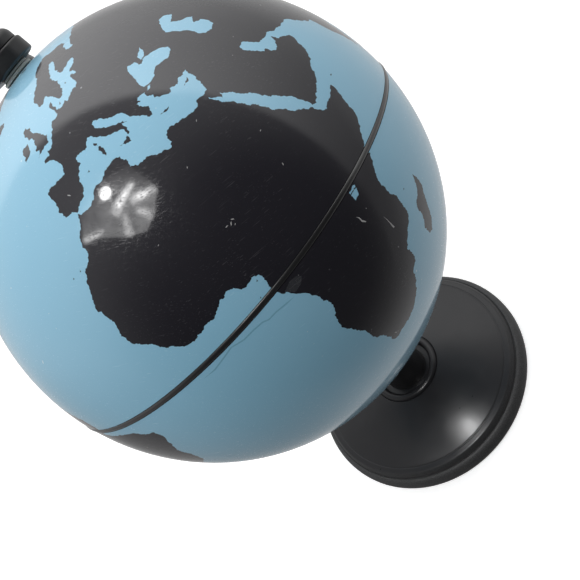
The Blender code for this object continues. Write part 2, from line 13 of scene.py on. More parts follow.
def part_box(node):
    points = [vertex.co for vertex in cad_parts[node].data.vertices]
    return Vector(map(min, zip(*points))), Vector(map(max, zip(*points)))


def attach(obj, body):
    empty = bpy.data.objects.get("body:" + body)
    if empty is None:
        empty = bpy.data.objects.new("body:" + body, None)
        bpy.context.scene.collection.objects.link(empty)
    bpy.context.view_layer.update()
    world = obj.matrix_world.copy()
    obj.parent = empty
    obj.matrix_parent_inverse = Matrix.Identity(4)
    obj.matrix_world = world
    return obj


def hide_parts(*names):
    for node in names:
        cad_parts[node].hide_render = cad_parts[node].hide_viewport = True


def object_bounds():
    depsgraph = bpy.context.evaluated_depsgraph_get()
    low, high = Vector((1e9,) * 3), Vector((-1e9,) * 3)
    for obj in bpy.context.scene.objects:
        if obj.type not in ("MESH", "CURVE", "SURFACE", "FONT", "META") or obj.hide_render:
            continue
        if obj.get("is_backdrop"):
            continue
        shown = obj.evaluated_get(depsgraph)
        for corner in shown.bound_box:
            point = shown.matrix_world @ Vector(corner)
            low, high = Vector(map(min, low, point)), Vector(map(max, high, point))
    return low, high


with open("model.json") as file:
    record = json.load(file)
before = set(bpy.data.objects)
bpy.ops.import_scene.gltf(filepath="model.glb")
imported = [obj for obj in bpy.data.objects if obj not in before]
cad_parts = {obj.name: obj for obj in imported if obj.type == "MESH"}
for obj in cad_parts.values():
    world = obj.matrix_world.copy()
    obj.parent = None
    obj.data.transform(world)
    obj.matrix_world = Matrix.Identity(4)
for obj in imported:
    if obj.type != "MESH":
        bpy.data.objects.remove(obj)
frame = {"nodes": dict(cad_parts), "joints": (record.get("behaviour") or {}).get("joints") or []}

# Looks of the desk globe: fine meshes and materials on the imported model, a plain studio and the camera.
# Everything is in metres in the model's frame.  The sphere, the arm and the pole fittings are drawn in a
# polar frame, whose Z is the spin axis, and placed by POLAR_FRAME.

CAD_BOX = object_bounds()

# ---------------- sizes read from the frame
HINGE = frame["joints"][0]
GLOBE_CENTRE = Vector(HINGE["pos_m"])
AXIS_TILT = math.atan2(HINGE["axis"][0], HINGE["axis"][2])
POLAR_FRAME = Matrix.Translation(GLOBE_CENTRE) @ Matrix.Rotation(AXIS_TILT, 4, "Y")
GAP = 0.0003
BAND_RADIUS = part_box("equator_band")[1].y
BAND_PROUD = 0.0004
GLOBE_RADIUS = BAND_RADIUS - BAND_PROUD
FOOT_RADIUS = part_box("base_shell")[1].x
SEAT_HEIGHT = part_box("pedestal")[0].z - GAP
PEDESTAL_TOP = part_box("pedestal")[1].z

# ---------------- sphere
SHELL_WALL = 0.0018
BAND_HALF_WIDTH = 0.0012
BAND_CROWN = 0.0004
BAND_THICKNESS = 0.0008
BAND_ROUNDING = 0.0002
REBATE_HALF_WIDTH = BAND_HALF_WIDTH + GAP
REBATE_RADIUS = BAND_RADIUS - BAND_THICKNESS - GAP
INNER_RADIUS = GLOBE_RADIUS - SHELL_WALL
POLE_HOLE_RADIUS = 0.006
PRIME_MERIDIAN = math.radians(175.8)
FILL_SPACING = 2.4
FILL_ROW_SHARE = 0.87
WELD_DISTANCE = 1e-6
SEAM_SIDES = 360
HOLE_SIDES = 48
LINING_SIDES = 72
LINING_STEPS = 12

# ---------------- pole fittings, from the centre along the axis
PIVOT_RADIUS = 0.003
BUSH_CLEARANCE = 0.0001
BUSH_FLANGE_RADIUS = 0.009
BUSH_FLANGE_START = GLOBE_RADIUS + 0.0002
BUSH_FLANGE_END = BUSH_FLANGE_START + 0.0015
BUSH_SHANK_RADIUS = 0.0056
BUSH_INNER_END = GLOBE_RADIUS - 0.007
WASHER_RADIUS = 0.008
WASHER_START = BUSH_FLANGE_END + 0.00025
WASHER_END = WASHER_START + 0.00105
WASHER_ROUNDING = 0.0002
PAD_START = WASHER_END + GAP
PAD_END = PAD_START + 0.008
PAD_RADIUS = 0.0145
PAD_ROUNDING = 0.0013
CAP_START = PAD_END + GAP
CAP_FLAT_SHARE = 1 / 3
CAP_SKIRT_SHARE = 1 / 3
CAP_CAVITY_RADIUS = 0.0066
CAP_CAVITY_DEPTH = 0.0036
NORTH_CAP = (0.0132, 0.0085)
SOUTH_CAP = (0.0110, 0.0060)
POLAR_SIDES = 96
POLAR_ROUNDING = 0.0003

# ---------------- arm and pedestal
ARM_INNER_RADIUS = GLOBE_RADIUS + 0.0048
ARM_OUTER_RADIUS = ARM_INNER_RADIUS + 0.006
ARM_HALF_WIDTH = 0.0075
ARM_ROUNDING = 0.0021
ARM_STEPS = 144
ARM_BOTTOM = GLOBE_CENTRE.z - ARM_OUTER_RADIUS
TENON_RADIUS = 0.009
TENON_BOTTOM = PEDESTAL_TOP + GAP - 0.032
SHOULDER_THICKNESS = 0.003
NECK_RADIUS = 0.0065
NECK_FLARE = 0.001
NECK_START = 0.0058
NECK_OVERLAP = 0.003
EDGE_ROUNDING = 0.0006
PEDESTAL_TOP_RADIUS = 0.0132
PEDESTAL_FOOT_RADIUS = 0.0176
PEDESTAL_FLARE = 1.4
PEDESTAL_WALL = 0.003
PEDESTAL_SIDES = 128
SOCKET_STEP = 0.001
BOLT_HOLE_RADIUS = 0.0033
BOLT_OVERRUN = 0.005
NUT_BOTTOM = TENON_BOTTOM + 0.008
NUT_THICKNESS = 0.005
NUT_HALF_FLATS = 0.005
NUT_RADIUS = 0.00577
CUT_MARGIN = 0.001

# ---------------- foot
FOOT_WALL = 0.0024
FOOT_SIDES = 240
RIM_BOTTOM = 0.0008
RIM_WALL_TOP = 0.003
VALLEY_RADIUS = 0.0844
VALLEY_HEIGHT = 0.0110
SHOULDER_WIDTH = 0.0034
GROOVE_DEPTH = 0.0005
DOME_EDGE_RADIUS = 0.077
DOME_START_RADIUS = 0.0280
DOME_START_HEIGHT = 0.0278
DOME_CURVE_RADIUS = 0.243
COLLAR_INNER_RADIUS = 0.0216
COLLAR_CREST_HEIGHT = 0.0305
COLLAR_SIDES = 160
BOSS_RADIUS = 0.012
BOSS_BOTTOM = 0.0173
COVER_RADIUS = 0.0866
COVER_BOTTOM = 0.0017
COVER_TOP = COVER_BOTTOM + 0.0022
COVER_ROUNDING = 0.0005
FELT_RADIUS = 0.084
FELT_SIDES = 360
FELT_WANDER = 0.00025
SCREW_COUNT = 4
POST_CIRCLE_RADIUS = 0.0715
POST_RADIUS = 0.0042
POST_TOP = 0.0165
POST_HOLE_TOP = 0.0135
POST_SIDES = 32
SCREW_HOLE_RADIUS = 0.0018
SCREW_HOLE_SIDES = 24
SCREW_SINK_RADIUS = 0.0034
SCREW_SINK_DEPTH = 0.0012

# ---------------- camera and studio
CAMERA_PLACE = Vector((-0.3230, -0.0462, 0.4926))
CAMERA_FORWARD = Vector((0.64293, 0.12291, -0.75600))
CAMERA_DOWN = Vector((-0.56680, 0.74022, -0.36168))
LENS_MM = 44.325
SENSOR_MM = 36.0
LENS_SHIFT = (-0.0739, 0.0923)
CLIP_START = 0.01
LAMP_DIRECTION = Vector((-0.053, 0.208, 0.977))
LAMP_DISTANCE = 1.6
LAMP_OFFSET = Vector((-0.05, -0.02, 0.0))
LAMP_SIZE = 0.147
LAMP_POWER = 1.7
PANEL_HEIGHT = 0.02
FOLD_HEIGHT = 0.01
GLINT_PLACE = (-0.085, 0.005, 0.139)
GLINT_AIM = (-0.073, -0.002, 0.019)
GLINT_SIZE = 0.022
GLINT_POWER = 0.12
SOFT_LIGHT_SIZE = 1.4
ROOM_RADIUS = 4.0
ROOM_BEND = 1.2
ROOM_HEIGHT = 4.0
ROOM_WALL = 0.05


# ---------------- mesh helpers
SHARP_ABOVE = math.radians(38.0)
BACKDROP_SHARP_ABOVE = math.radians(50.0)
LONGEST_ROUNDING = 0.4


def shares(count):
    """Even steps from 0 to 1."""
    return [i / count for i in range(count + 1)]


def around(reach, turn):
    """Flat place at a distance and a turn."""
    return reach * math.cos(turn), reach * math.sin(turn)


def turns(count, start=0.0):
    """Even turns of a full circle, shifted by start steps."""
    return [2 * math.pi * (k + start) / count for k in range(count)]


def bezier(start, corner, end, steps):
    """Points of a quadratic curve from start to end that rounds off corner."""
    return [
        tuple((1 - u) ** 2 * a + 2 * u * (1 - u) * b + u ** 2 * c for a, b, c in zip(start, corner, end))
        for u in shares(steps)
    ]


def rounded(outline, radius, steps=3):
    """Round the corners of a closed (radius, height) outline; corners on the axis stay sharp."""
    result = []
    for i, corner in enumerate(outline):
        if corner[0] == 0.0:
            result.append(tuple(corner))
            continue
        here = Vector(corner)
        before = Vector(outline[i - 1]) - here
        after = Vector(outline[(i + 1) % len(outline)]) - here
        reach = min(radius, LONGEST_ROUNDING * before.length, LONGEST_ROUNDING * after.length)
        start = here + before.normalized() * reach
        end = here + after.normalized() * reach
        result += bezier(start, here, end, steps)
    return result


def turned_faces(outline, sides):
    """Vertices and faces of a closed (radius, height) outline turned about Z."""
    verts = []
    rows = []
    for radius, height in outline:
        if radius == 0.0:
            rows.append([len(verts)] * sides)
            verts.append((0.0, 0.0, height))
        else:
            rows.append(list(range(len(verts), len(verts) + sides)))
            verts += [(*around(radius, turn), height) for turn in turns(sides)]
    faces = []
    for i, row in enumerate(rows):
        below = rows[(i + 1) % len(rows)]
        if row[0] == row[1] and below[0] == below[1]:
            continue
        for k in range(sides):
            nxt = (k + 1) % sides
            corners = [row[k], row[nxt], below[nxt], below[k]]
            faces.append([c for j, c in enumerate(corners) if c not in corners[:j]])
    return verts, faces


def linked(name, data):
    """New object in the scene."""
    item = bpy.data.objects.new(name, data)
    bpy.context.scene.collection.objects.link(item)
    return item


def new_object(name, verts, faces, matrix=None):
    """Mesh object with faces pointing out; the matrix, if given, is applied to its vertices."""
    mesh = bpy.data.meshes.new(name)
    mesh.from_pydata(verts, [], faces)
    if matrix is not None:
        mesh.transform(matrix)
    builder = bmesh.new()
    builder.from_mesh(mesh)
    bmesh.ops.recalc_face_normals(builder, faces=builder.faces)
    builder.to_mesh(mesh)
    builder.free()
    return linked(name, mesh)


def turned(name, outline, sides, matrix=None):
    """Object made by turning a closed (radius, height) outline about Z."""
    return new_object(name, *turned_faces(outline, sides), matrix)


def combine(target, operand, operation):
    """Boolean the operand into the target, apply it and remove the operand."""
    modifier = target.modifiers.new("combine", "BOOLEAN")
    modifier.operation = operation
    modifier.solver = "EXACT"
    modifier.object = operand
    evaluated = target.evaluated_get(bpy.context.evaluated_depsgraph_get())
    mesh = bpy.data.meshes.new_from_object(evaluated)
    target.modifiers.clear()
    target.data = mesh
    bpy.data.objects.remove(operand, do_unlink=True)


def smooth(item):
    """Smooth shading that keeps sharp corners sharp and flats flat."""
    item.data.shade_smooth()
    item.data.set_sharp_from_angle(angle=SHARP_ABOVE)
    modifier = item.modifiers.new("flat_faces", "WEIGHTED_NORMAL")
    modifier.keep_sharp = True


def dress(item, material):
    """Make this the piece's only material."""
    item.data.materials.clear()
    item.data.materials.append(material)


def fit_out(item, material, slot, body, *nodes):
    """Give a piece its material and its body, and hide the CAD nodes it stands for; slot is not used."""
    dress(item, material)
    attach(item, body)
    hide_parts(*nodes)


# ---------------- material helpers
def put(tree, socket, value):
    """Link an output to a socket, or set a constant on it; a colour gets an alpha of 1."""
    if isinstance(value, bpy.types.NodeSocket):
        tree.links.new(value, socket)
    elif socket.type == "RGBA":
        socket.default_value = (*value, 1.0)
    else:
        socket.default_value = value


def add_node(tree, kind, inputs=None, **settings):
    """New node with its settings and its inputs."""
    node = tree.nodes.new(kind)
    for key, value in settings.items():
        setattr(node, key, value)
    for key, value in (inputs or {}).items():
        put(tree, node.inputs[key], value)
    return node


class Graph:
    """Small wrapper that adds nodes to a new material."""

    def __init__(self, name):
        self.material = bpy.data.materials.new(name)
        self.material.use_nodes = True
        self.tree = self.material.node_tree
        self.shader = self.tree.nodes["Principled BSDF"]

    def add(self, kind, inputs=None, **settings):
        return add_node(self.tree, kind, inputs, **settings)

    def place(self):
        """Position in the piece's own space."""
        return self.add("ShaderNodeTexCoord").outputs["Object"]

    def stretched(self, scale, rotation=(0.0, 0.0, 0.0), centre=(0.0, 0.0, 0.0)):
        """Position about a centre, turned back by the rotation and then scaled along each axis."""
        inputs = {
            "Vector": self.place(), "Location": centre, "Rotation": rotation,
            "Scale": tuple(1 / factor for factor in scale),
        }
        return self.add("ShaderNodeMapping", inputs, vector_type="TEXTURE").outputs["Vector"]

    def noise(self, scale, detail=2.0, roughness=0.5, vector=None):
        inputs = {
            "Vector": vector or self.place(), "Scale": scale, "Detail": detail, "Roughness": roughness,
        }
        return self.add("ShaderNodeTexNoise", inputs).outputs["Fac"]

    def ramp(self, value, low, high, to_low=0.0, to_high=1.0):
        """Linear change from to_low to to_high as the value goes from low to high, clamped."""
        inputs = {"Value": value, "From Min": low, "From Max": high, "To Min": to_low, "To Max": to_high}
        return self.add("ShaderNodeMapRange", inputs).outputs["Result"]

    def mottle(self, scale, detail, roughness, low=0.3, high=0.7, to_low=0.0, to_high=1.0):
        """Soft patches: noise, spread over the range from to_low to to_high."""
        return self.ramp(self.noise(scale, detail, roughness), low, high, to_low, to_high)

    def math(self, operation, first, second=0.0):
        return self.add("ShaderNodeMath", {0: first, 1: second}, operation=operation).outputs["Value"]

    def mix(self, factor, first, second):
        """Mix of two colours."""
        node = self.add("ShaderNodeMix", {"Factor": factor}, data_type="RGBA")
        colours = [s for s in node.inputs if s.type == "RGBA"]
        for socket, value in zip(colours, (first, second)):
            put(self.tree, socket, value)
        return [s for s in node.outputs if s.type == "RGBA"][0]

    def bump(self, height, distance, strength=1.0, normal=None):
        inputs = {"Height": height, "Distance": distance, "Strength": strength}
        if normal is not None:
            inputs["Normal"] = normal
        return self.add("ShaderNodeBump", inputs).outputs["Normal"]

    def feed(self, **inputs):
        """Link or set inputs of the shader, named with _ for a space."""
        for name, value in inputs.items():
            put(self.tree, self.shader.inputs[name.replace("_", " ")], value)


# ---------------- the map: outlines as (longitude, latitude)
AFRICA = [
    (-5.3, 35.9), (-5.9, 35.3), (-6.3, 34.5), (-7.2, 33.5), (-8.5, 32.8), (-9.1, 31.9), (-9.7, 31),
    (-9.4, 29.9), (-9.9, 29.2), (-11.3, 28.3), (-12.7, 27.8), (-13.2, 27), (-14.3, 26.3), (-14.7, 25.2),
    (-15.8, 23.6), (-16.5, 22.3), (-17.1, 21.1), (-16.4, 20.6), (-16.4, 19.3), (-16.1, 18.3), (-16.2, 17.2),
    (-16.6, 16), (-17.3, 14.9), (-16.8, 14.1), (-16.8, 12.6), (-16, 11.8), (-15, 10.8), (-13.8, 9.7),
    (-13.3, 8.5), (-12.6, 7.6), (-11.2, 6.7), (-9, 5.1), (-7.7, 4.7), (-6.3, 5.2), (-4.2, 5.4), (-2, 5),
    (0, 5.7), (1.3, 6.3), (4, 6.6), (5, 6.1), (5.6, 5), (6.4, 4.5), (8.6, 4.8), (9.2, 4.3), (9.8, 4.1),
    (9.9, 3.2), (9.5, 1.7), (9.3, 0.7), (9, -0.4), (9.8, -1.8), (11.3, -3.8), (12.6, -5.3), (13, -6.5),
    (13.8, -8.4), (13.6, -9.4), (14.3, -11), (14, -12.4), (12.8, -13.8), (12.3, -15.6), (12, -17.2),
    (12.3, -18.4), (13.5, -20.3), (14.7, -22.8), (15, -25.3), (15.3, -27.2), (16.6, -28.8), (17.4, -30.4),
    (18.3, -32.2), (18.2, -33.4), (18.8, -34.4), (20.2, -34.9), (21.7, -34.3), (24, -34.4), (26.2, -34.3),
    (28, -33.8), (29.5, -32.8), (31, -31.4), (32, -29.7), (33.1, -28.5), (33.5, -26.8), (33.5, -25.8),
    (35.6, -24.9), (36.1, -23.8), (36, -22.4), (35.2, -20.4), (36.7, -19.1), (38.3, -17.8), (39.9, -17.2),
    (41.1, -16.1), (41.4, -14.6), (41.2, -12.8), (41.5, -11), (40.3, -8.9), (40.4, -7.3), (39.9, -6.6),
    (40.2, -5.2), (42, -2.7), (43.7, -1.1), (43.3, 0.5), (45, 1.8), (47, 3.2), (48.3, 4.4), (49.5, 6.2),
    (50.8, 9.5), (51.4, 12.1), (49.3, 11.6), (47.1, 11.2), (45, 10.7), (44, 11.3), (43.3, 12.4),
    (42.7, 13.6), (41.4, 14.7), (40, 15.6), (39.3, 16.6), (38.8, 17.6), (37.4, 18.9), (37, 20.6),
    (36.6, 21.8), (35.4, 22.9), (35.2, 24), (34.6, 24.9), (33.7, 26.6), (32.9, 28.2), (32.1, 29.7),
    (32.6, 30.2), (32.6, 31), (31.3, 31.4), (30, 31.3), (28.9, 30.7), (26.8, 31.1), (25.4, 31.4),
    (24.6, 31.8), (23.2, 32.1), (22.5, 32.5), (21.3, 32.6), (20.3, 32.2), (19.8, 31.5), (19.8, 30.6),
    (18.8, 30), (17.7, 30.6), (15.7, 31.3), (15, 32.1), (13.5, 32.5), (11.7, 32.8), (10.3, 33.8),
    (11.1, 35.2), (10.5, 36), (10.9, 36.7), (9.7, 37.1), (5.3, 36.7), (2, 36.6), (0.5, 36), (0, 35.5),
    (-1.8, 34.9), (-4.6, 35.2),
]
EURASIA = [
    (32.3, 31.1), (33.8, 31.1), (34.6, 32.4), (35, 33.8), (35.7, 35.2), (36.2, 36.8), (34.8, 36.5),
    (33.7, 36.9), (31.9, 36.3), (30.1, 37), (29.4, 36.3), (28.4, 36.8), (27.3, 37.5), (26.4, 38.3),
    (26.9, 38.9), (26, 39.5), (26.4, 40.6), (25.1, 41), (23.7, 40.8), (23.9, 40.1), (22.8, 40.4),
    (22.6, 39.7), (23.1, 39), (23.9, 38.2), (23.1, 37.5), (22.6, 36.6), (21.7, 36.9), (21.4, 37.8),
    (20.7, 38.4), (20.1, 39.4), (19.4, 40.3), (19.2, 41.7), (17.3, 42.8), (15.7, 43.8), (15, 44.8),
    (14.2, 45), (13.5, 45.7), (12.5, 45.4), (12.3, 44.5), (13, 43.6), (14.1, 42.4), (15.2, 41.8),
    (16.4, 41.1), (17.6, 40.6), (18.2, 39.8), (17, 40.4), (16.8, 39.6), (16.9, 39), (16.2, 38),
    (15.7, 38.2), (16, 39), (15.5, 39.9), (14.4, 40.5), (12.6, 41.2), (11, 42.6), (10.1, 44), (9.1, 44.3),
    (8, 43.8), (6.6, 42.9), (5, 43.5), (3.6, 43.5), (3.2, 42.8), (3.4, 41.9), (1.4, 41), (0.1, 39.6),
    (-0.1, 38.5), (-1.6, 37.1), (-4.1, 36.7), (-5.2, 36.05), (-6.2, 37), (-8.2, 37.3), (-8.3, 38.4),
    (-8.9, 39.1), (-8.1, 40.8), (-8.4, 42.2), (-8.4, 43.3), (-7.2, 43.7), (-5, 43.3), (-1.3, 43.3),
    (-0.7, 44.2), (-0.7, 46), (-1.6, 47.3), (-2.5, 47.9), (-4, 48.2), (-4, 48.7), (-2.9, 48.8),
    (-1.7, 48.6), (-1.2, 49.8), (-0.6, 49.5), (0.4, 49.5), (1.6, 50.2), (2, 51), (3.2, 51.6), (4.4, 52.3),
    (5, 53.3), (6.2, 53.7), (8.8, 53.8), (8.9, 55), (8.5, 56.3), (8.7, 57.2), (10.3, 57.7), (10.1, 56.9),
    (9.7, 56), (9.5, 54.8), (11.6, 54.1), (13.4, 54.7), (13.9, 53.9), (15.9, 54.4), (18.4, 54.9),
    (19.1, 54.4), (20.5, 55.1), (21.1, 55.8), (21.2, 56.9), (21.9, 58), (22.7, 58.2), (23.1, 57.5),
    (24, 57.3), (24.4, 58.6), (23.4, 59.2), (25.9, 59.8), (28, 60.2), (29.5, 60.9), (30, 61.6),
    (28.4, 61.9), (25.5, 61.4), (22.3, 61.2), (21.7, 62.4), (22.2, 63.8), (23.6, 64.8), (25.9, 66.2),
    (26.9, 67.2), (25.2, 67.6), (23.5, 67.2), (21.5, 65.8), (19.3, 64.5), (18, 63.5), (17.4, 62.2),
    (17.6, 61.1), (18.4, 60.4), (17.3, 59.6), (16.6, 58.3), (16.2, 57.3), (15, 56.8), (14.4, 56.1),
    (13, 56.2), (12.6, 57.4), (11.8, 58.8), (11, 60.1), (10.1, 60.3), (9, 60), (8, 59.3), (6.5, 59.4),
    (6, 60.6), (5.8, 62.6), (8, 64.2), (10.1, 65.2), (12.2, 66.4), (13.7, 67.5), (15.3, 68.9), (16.8, 70),
    (20.1, 71.5), (25.1, 72.5), (30, 73.2), (33, 72.5), (34.8, 71.4), (39.4, 70.8), (42.3, 69.8),
    (41, 68.5), (37, 67.6), (35.6, 66.4), (35.3, 65.2), (37, 64.8), (38.5, 65), (39.4, 66.1), (42.3, 67.3),
    (44.8, 67.9), (50.1, 69.1), (57.3, 70.6), (64.4, 71.4), (72, 72.6), (80, 73.5), (87, 75.5), (95, 76),
    (104, 77.7), (113, 74), (127, 73), (131, 71), (140, 72.5), (150, 71.5), (160, 70), (170, 69.5),
    (180, 69), (186, 67.2), (190, 66), (186.5, 64.5), (180, 64.7), (177.5, 62.5), (170, 60), (163.5, 59.6),
    (163, 57), (162, 55), (157, 51.2), (155.7, 54), (156.2, 57), (160, 60), (163.2, 62), (157, 61.5),
    (152, 59), (143, 59.2), (135.5, 54.6), (141, 53), (140.3, 50), (138, 46.2), (135, 43.6), (131, 42.9),
    (128, 40), (129.4, 36.2), (126.6, 34.5), (126.4, 37), (125, 39.6), (121.5, 39), (121.3, 40.7),
    (118, 39.1), (119.2, 37.4), (122.2, 37.1), (119.8, 35), (121.8, 31.6), (121.2, 28.3), (118.3, 24.6),
    (114.2, 22.5), (110.3, 21), (108, 21.5), (105.9, 19), (108.9, 14.5), (109.1, 11.6), (105.2, 8.7),
    (104.9, 10.4), (102.4, 12.4), (100.8, 13.4), (99.7, 11), (99.5, 9.3), (100.6, 7.1), (103.2, 5),
    (104.1, 1.4), (101.4, 2.9), (100.2, 6), (98.3, 8.1), (98.7, 11), (97.6, 15.2), (95.2, 16), (94.3, 18.6),
    (92, 21.5), (89, 22), (86.9, 20.6), (85, 19.4), (82.2, 16.6), (80.2, 15.2), (80, 12.2), (79.4, 10.1),
    (77.7, 8.1), (76.2, 10.6), (74.6, 14), (73, 17), (72.7, 20.6), (70.9, 20.9), (69.1, 22.3), (67.5, 24),
    (66.4, 25.3), (62, 25.7), (58.7, 26.3), (57.7, 27.2), (56.6, 27.6), (55.4, 27.3), (53.6, 27.6),
    (52.1, 28.2), (51.1, 29.5), (50.4, 30.6), (48.5, 30.6), (47.9, 29.8), (48.6, 28.6), (49.5, 27.2),
    (50.2, 26.1), (51.1, 26.3), (51.3, 25), (52, 24.5), (53.6, 24.6), (55, 25.2), (56, 26.5), (56.4, 25.1),
    (57.5, 24.6), (58.9, 23.9), (59.6, 23.1), (58.9, 21.8), (58, 20.8), (57.6, 19.9), (56.3, 18.8),
    (55, 17.7), (52.9, 17.1), (52, 16), (49.3, 14.8), (47.9, 14.1), (46.1, 13.6), (44.6, 13), (43.7, 13.4),
    (43.3, 15), (42.8, 16.6), (42.1, 18.1), (41, 19.5), (39.8, 20.7), (39, 22), (38.4, 23.7), (37.2, 25),
    (36.3, 26.6), (35.2, 27.9), (34.6, 28.9), (33.9, 27.9), (33.1, 28.9), (32.4, 30),
]
AMERICAS = [
    (-35, -5), (-34.7, -7.5), (-37, -11), (-39, -13.5), (-39.2, -17.5), (-41, -21.3), (-44.5, -23.3),
    (-48.5, -26), (-50, -29.5), (-53.5, -33.5), (-57.5, -34.8), (-57, -37.8), (-62, -39), (-65, -41),
    (-64, -43), (-67.4, -46), (-66, -48), (-69, -51), (-68.5, -52.8), (-66, -55), (-71, -54.5), (-75, -51),
    (-74.5, -47), (-73, -42), (-73.5, -37.5), (-71.5, -32), (-70.5, -25), (-70.3, -18.5), (-76, -14),
    (-79, -8), (-81.2, -5), (-80, -2.5), (-80, 0.6), (-78, 2.5), (-77.4, 6.5), (-79.4, 8.6), (-80.5, 7.4),
    (-83, 8.3), (-85.7, 10.2), (-87.7, 13), (-92, 14.3), (-95, 16.1), (-99, 16.6), (-104, 19),
    (-105.5, 21.2), (-109, 26), (-112.8, 30.6), (-114.7, 31.6), (-112.4, 27.6), (-110, 23), (-112, 25.5),
    (-115, 29), (-117, 32.5), (-120.5, 34.6), (-123.8, 39.5), (-124.2, 46), (-123, 48.8), (-127, 51),
    (-131, 55), (-137, 58.5), (-146, 60.6), (-151, 59.5), (-158, 56.5), (-164, 54.7), (-158.2, 58.6),
    (-162, 60), (-166, 61.7), (-164.5, 63.2), (-161, 64.4), (-168, 65.6), (-163.5, 66.5), (-166, 68.4),
    (-157, 71), (-145, 70), (-135, 69), (-128, 70.3), (-115, 68.5), (-108, 68), (-96, 67.8), (-94.5, 71.5),
    (-90, 69), (-85, 69.5), (-82, 67.5), (-87, 66), (-94, 61), (-94.5, 58.6), (-88, 56.5), (-82.5, 55),
    (-80, 51.4), (-79, 54.5), (-76.5, 57), (-78, 61), (-73, 62), (-69.5, 59), (-64.5, 60.1), (-61, 56),
    (-57, 52), (-60, 50.2), (-66, 50), (-70, 47), (-65, 48.6), (-64.5, 46.5), (-61, 45.5), (-66, 43.8),
    (-67, 45), (-70.5, 43.2), (-70, 41.7), (-74, 40.5), (-75.5, 37.5), (-76, 35), (-81, 31.5), (-80.1, 27),
    (-80.6, 25.2), (-82.6, 28), (-84, 30), (-89, 30.2), (-91, 29.2), (-95, 29.2), (-97.4, 27),
    (-97.5, 22.5), (-95, 18.5), (-91, 18.6), (-90.3, 21), (-87, 21.4), (-88, 18), (-88.5, 16), (-84, 15.9),
    (-83.5, 12), (-82.5, 9.3), (-79.7, 9.7), (-77, 8.4), (-75.5, 10.7), (-71.7, 12.2), (-71.5, 10.8),
    (-68.5, 11.2), (-62, 10.6), (-59, 8), (-55, 6), (-52.5, 4.5), (-51.5, 1.7), (-52.8, -1.2), (-50, -2.1),
    (-45.5, -2.3), (-42, -2.9), (-40, -3.1), (-38.2, -4.3), (-36.6, -5),
]
ANTARCTICA = [
    (-58, -63.5), (-61, -66.5), (-62.5, -71), (-61, -75), (-50, -78), (-35, -78), (-25, -74.5), (-10, -71),
    (10, -70), (30, -69.5), (50, -67), (70, -69.5), (76, -69.5), (90, -66.5), (110, -66), (130, -66),
    (145, -67), (160, -69.5), (170, -72), (165, -77.5), (180, -78.5), (200, -78.5), (215, -76),
    (235, -74.5), (260, -73), (282, -73.5), (292, -69.5), (297, -65),
]
AUSTRALIA = [
    (114, -22), (113.5, -26), (115.6, -31), (115, -34.3), (118, -35), (123.5, -34), (129, -31.6),
    (134.2, -32.8), (137.8, -32.9), (138.3, -35.5), (140.5, -38), (146, -39), (150, -37.3), (151.2, -33.5),
    (153.4, -28), (152.5, -25), (149, -21), (146, -19), (145.2, -15), (142.5, -10.8), (141.6, -13),
    (140.8, -17.4), (139, -17.3), (135.6, -15), (136.7, -12.3), (132.5, -11.5), (130, -13.5), (129, -15),
    (126, -14), (122.5, -17), (121, -19.5), (117, -20.7),
]
GREENLAND = [
    (-44, 60), (-42, 62), (-40, 65.2), (-33, 68), (-25, 70), (-20.5, 74), (-19, 78), (-14, 81.5),
    (-30, 83.4), (-50, 82.2), (-60, 81.6), (-66, 80), (-72, 78), (-66, 76), (-58, 75.5), (-54, 71),
    (-53, 67), (-50, 63),
]
BRITAIN = [
    (-3.3, 58.9), (-4.8, 58.6), (-5.4, 57.4), (-4.5, 56.1), (-4.4, 55.5), (-3.1, 55.2), (-2.6, 54.4),
    (-3.5, 53.5), (-3.5, 52.6), (-4.3, 52), (-2.8, 51.5), (-3.4, 51.1), (-4.9, 50.3), (-3.2, 50.7),
    (-1, 51.2), (1, 51.2), (1.1, 52), (1.9, 52.6), (0.9, 53.2), (0.2, 53.8), (-0.2, 54.9), (-1.2, 55.7),
    (-2, 56.5), (-2.4, 57.3), (-1.7, 57.9), (-2.9, 58.2),
]
IRELAND = [
    (-5.6, 55.4), (-5.8, 54.3), (-6, 53.2), (-7.2, 52.7), (-9.3, 52.2), (-9.3, 52.9), (-8.5, 53.3),
    (-9.1, 54.1), (-8.7, 54.7), (-7.6, 55.4),
]
MADAGASCAR = [
    (49.9, -12.8), (50.8, -14.4), (51, -16.2), (50.2, -18), (49.3, -21.2), (48.3, -24.4), (47, -26.2),
    (45.4, -25.8), (44.4, -24.2), (43.9, -22.9), (45.1, -21), (44.8, -18.5), (45.5, -17), (47.4, -16.5),
    (48.6, -15.2), (49.4, -14),
]
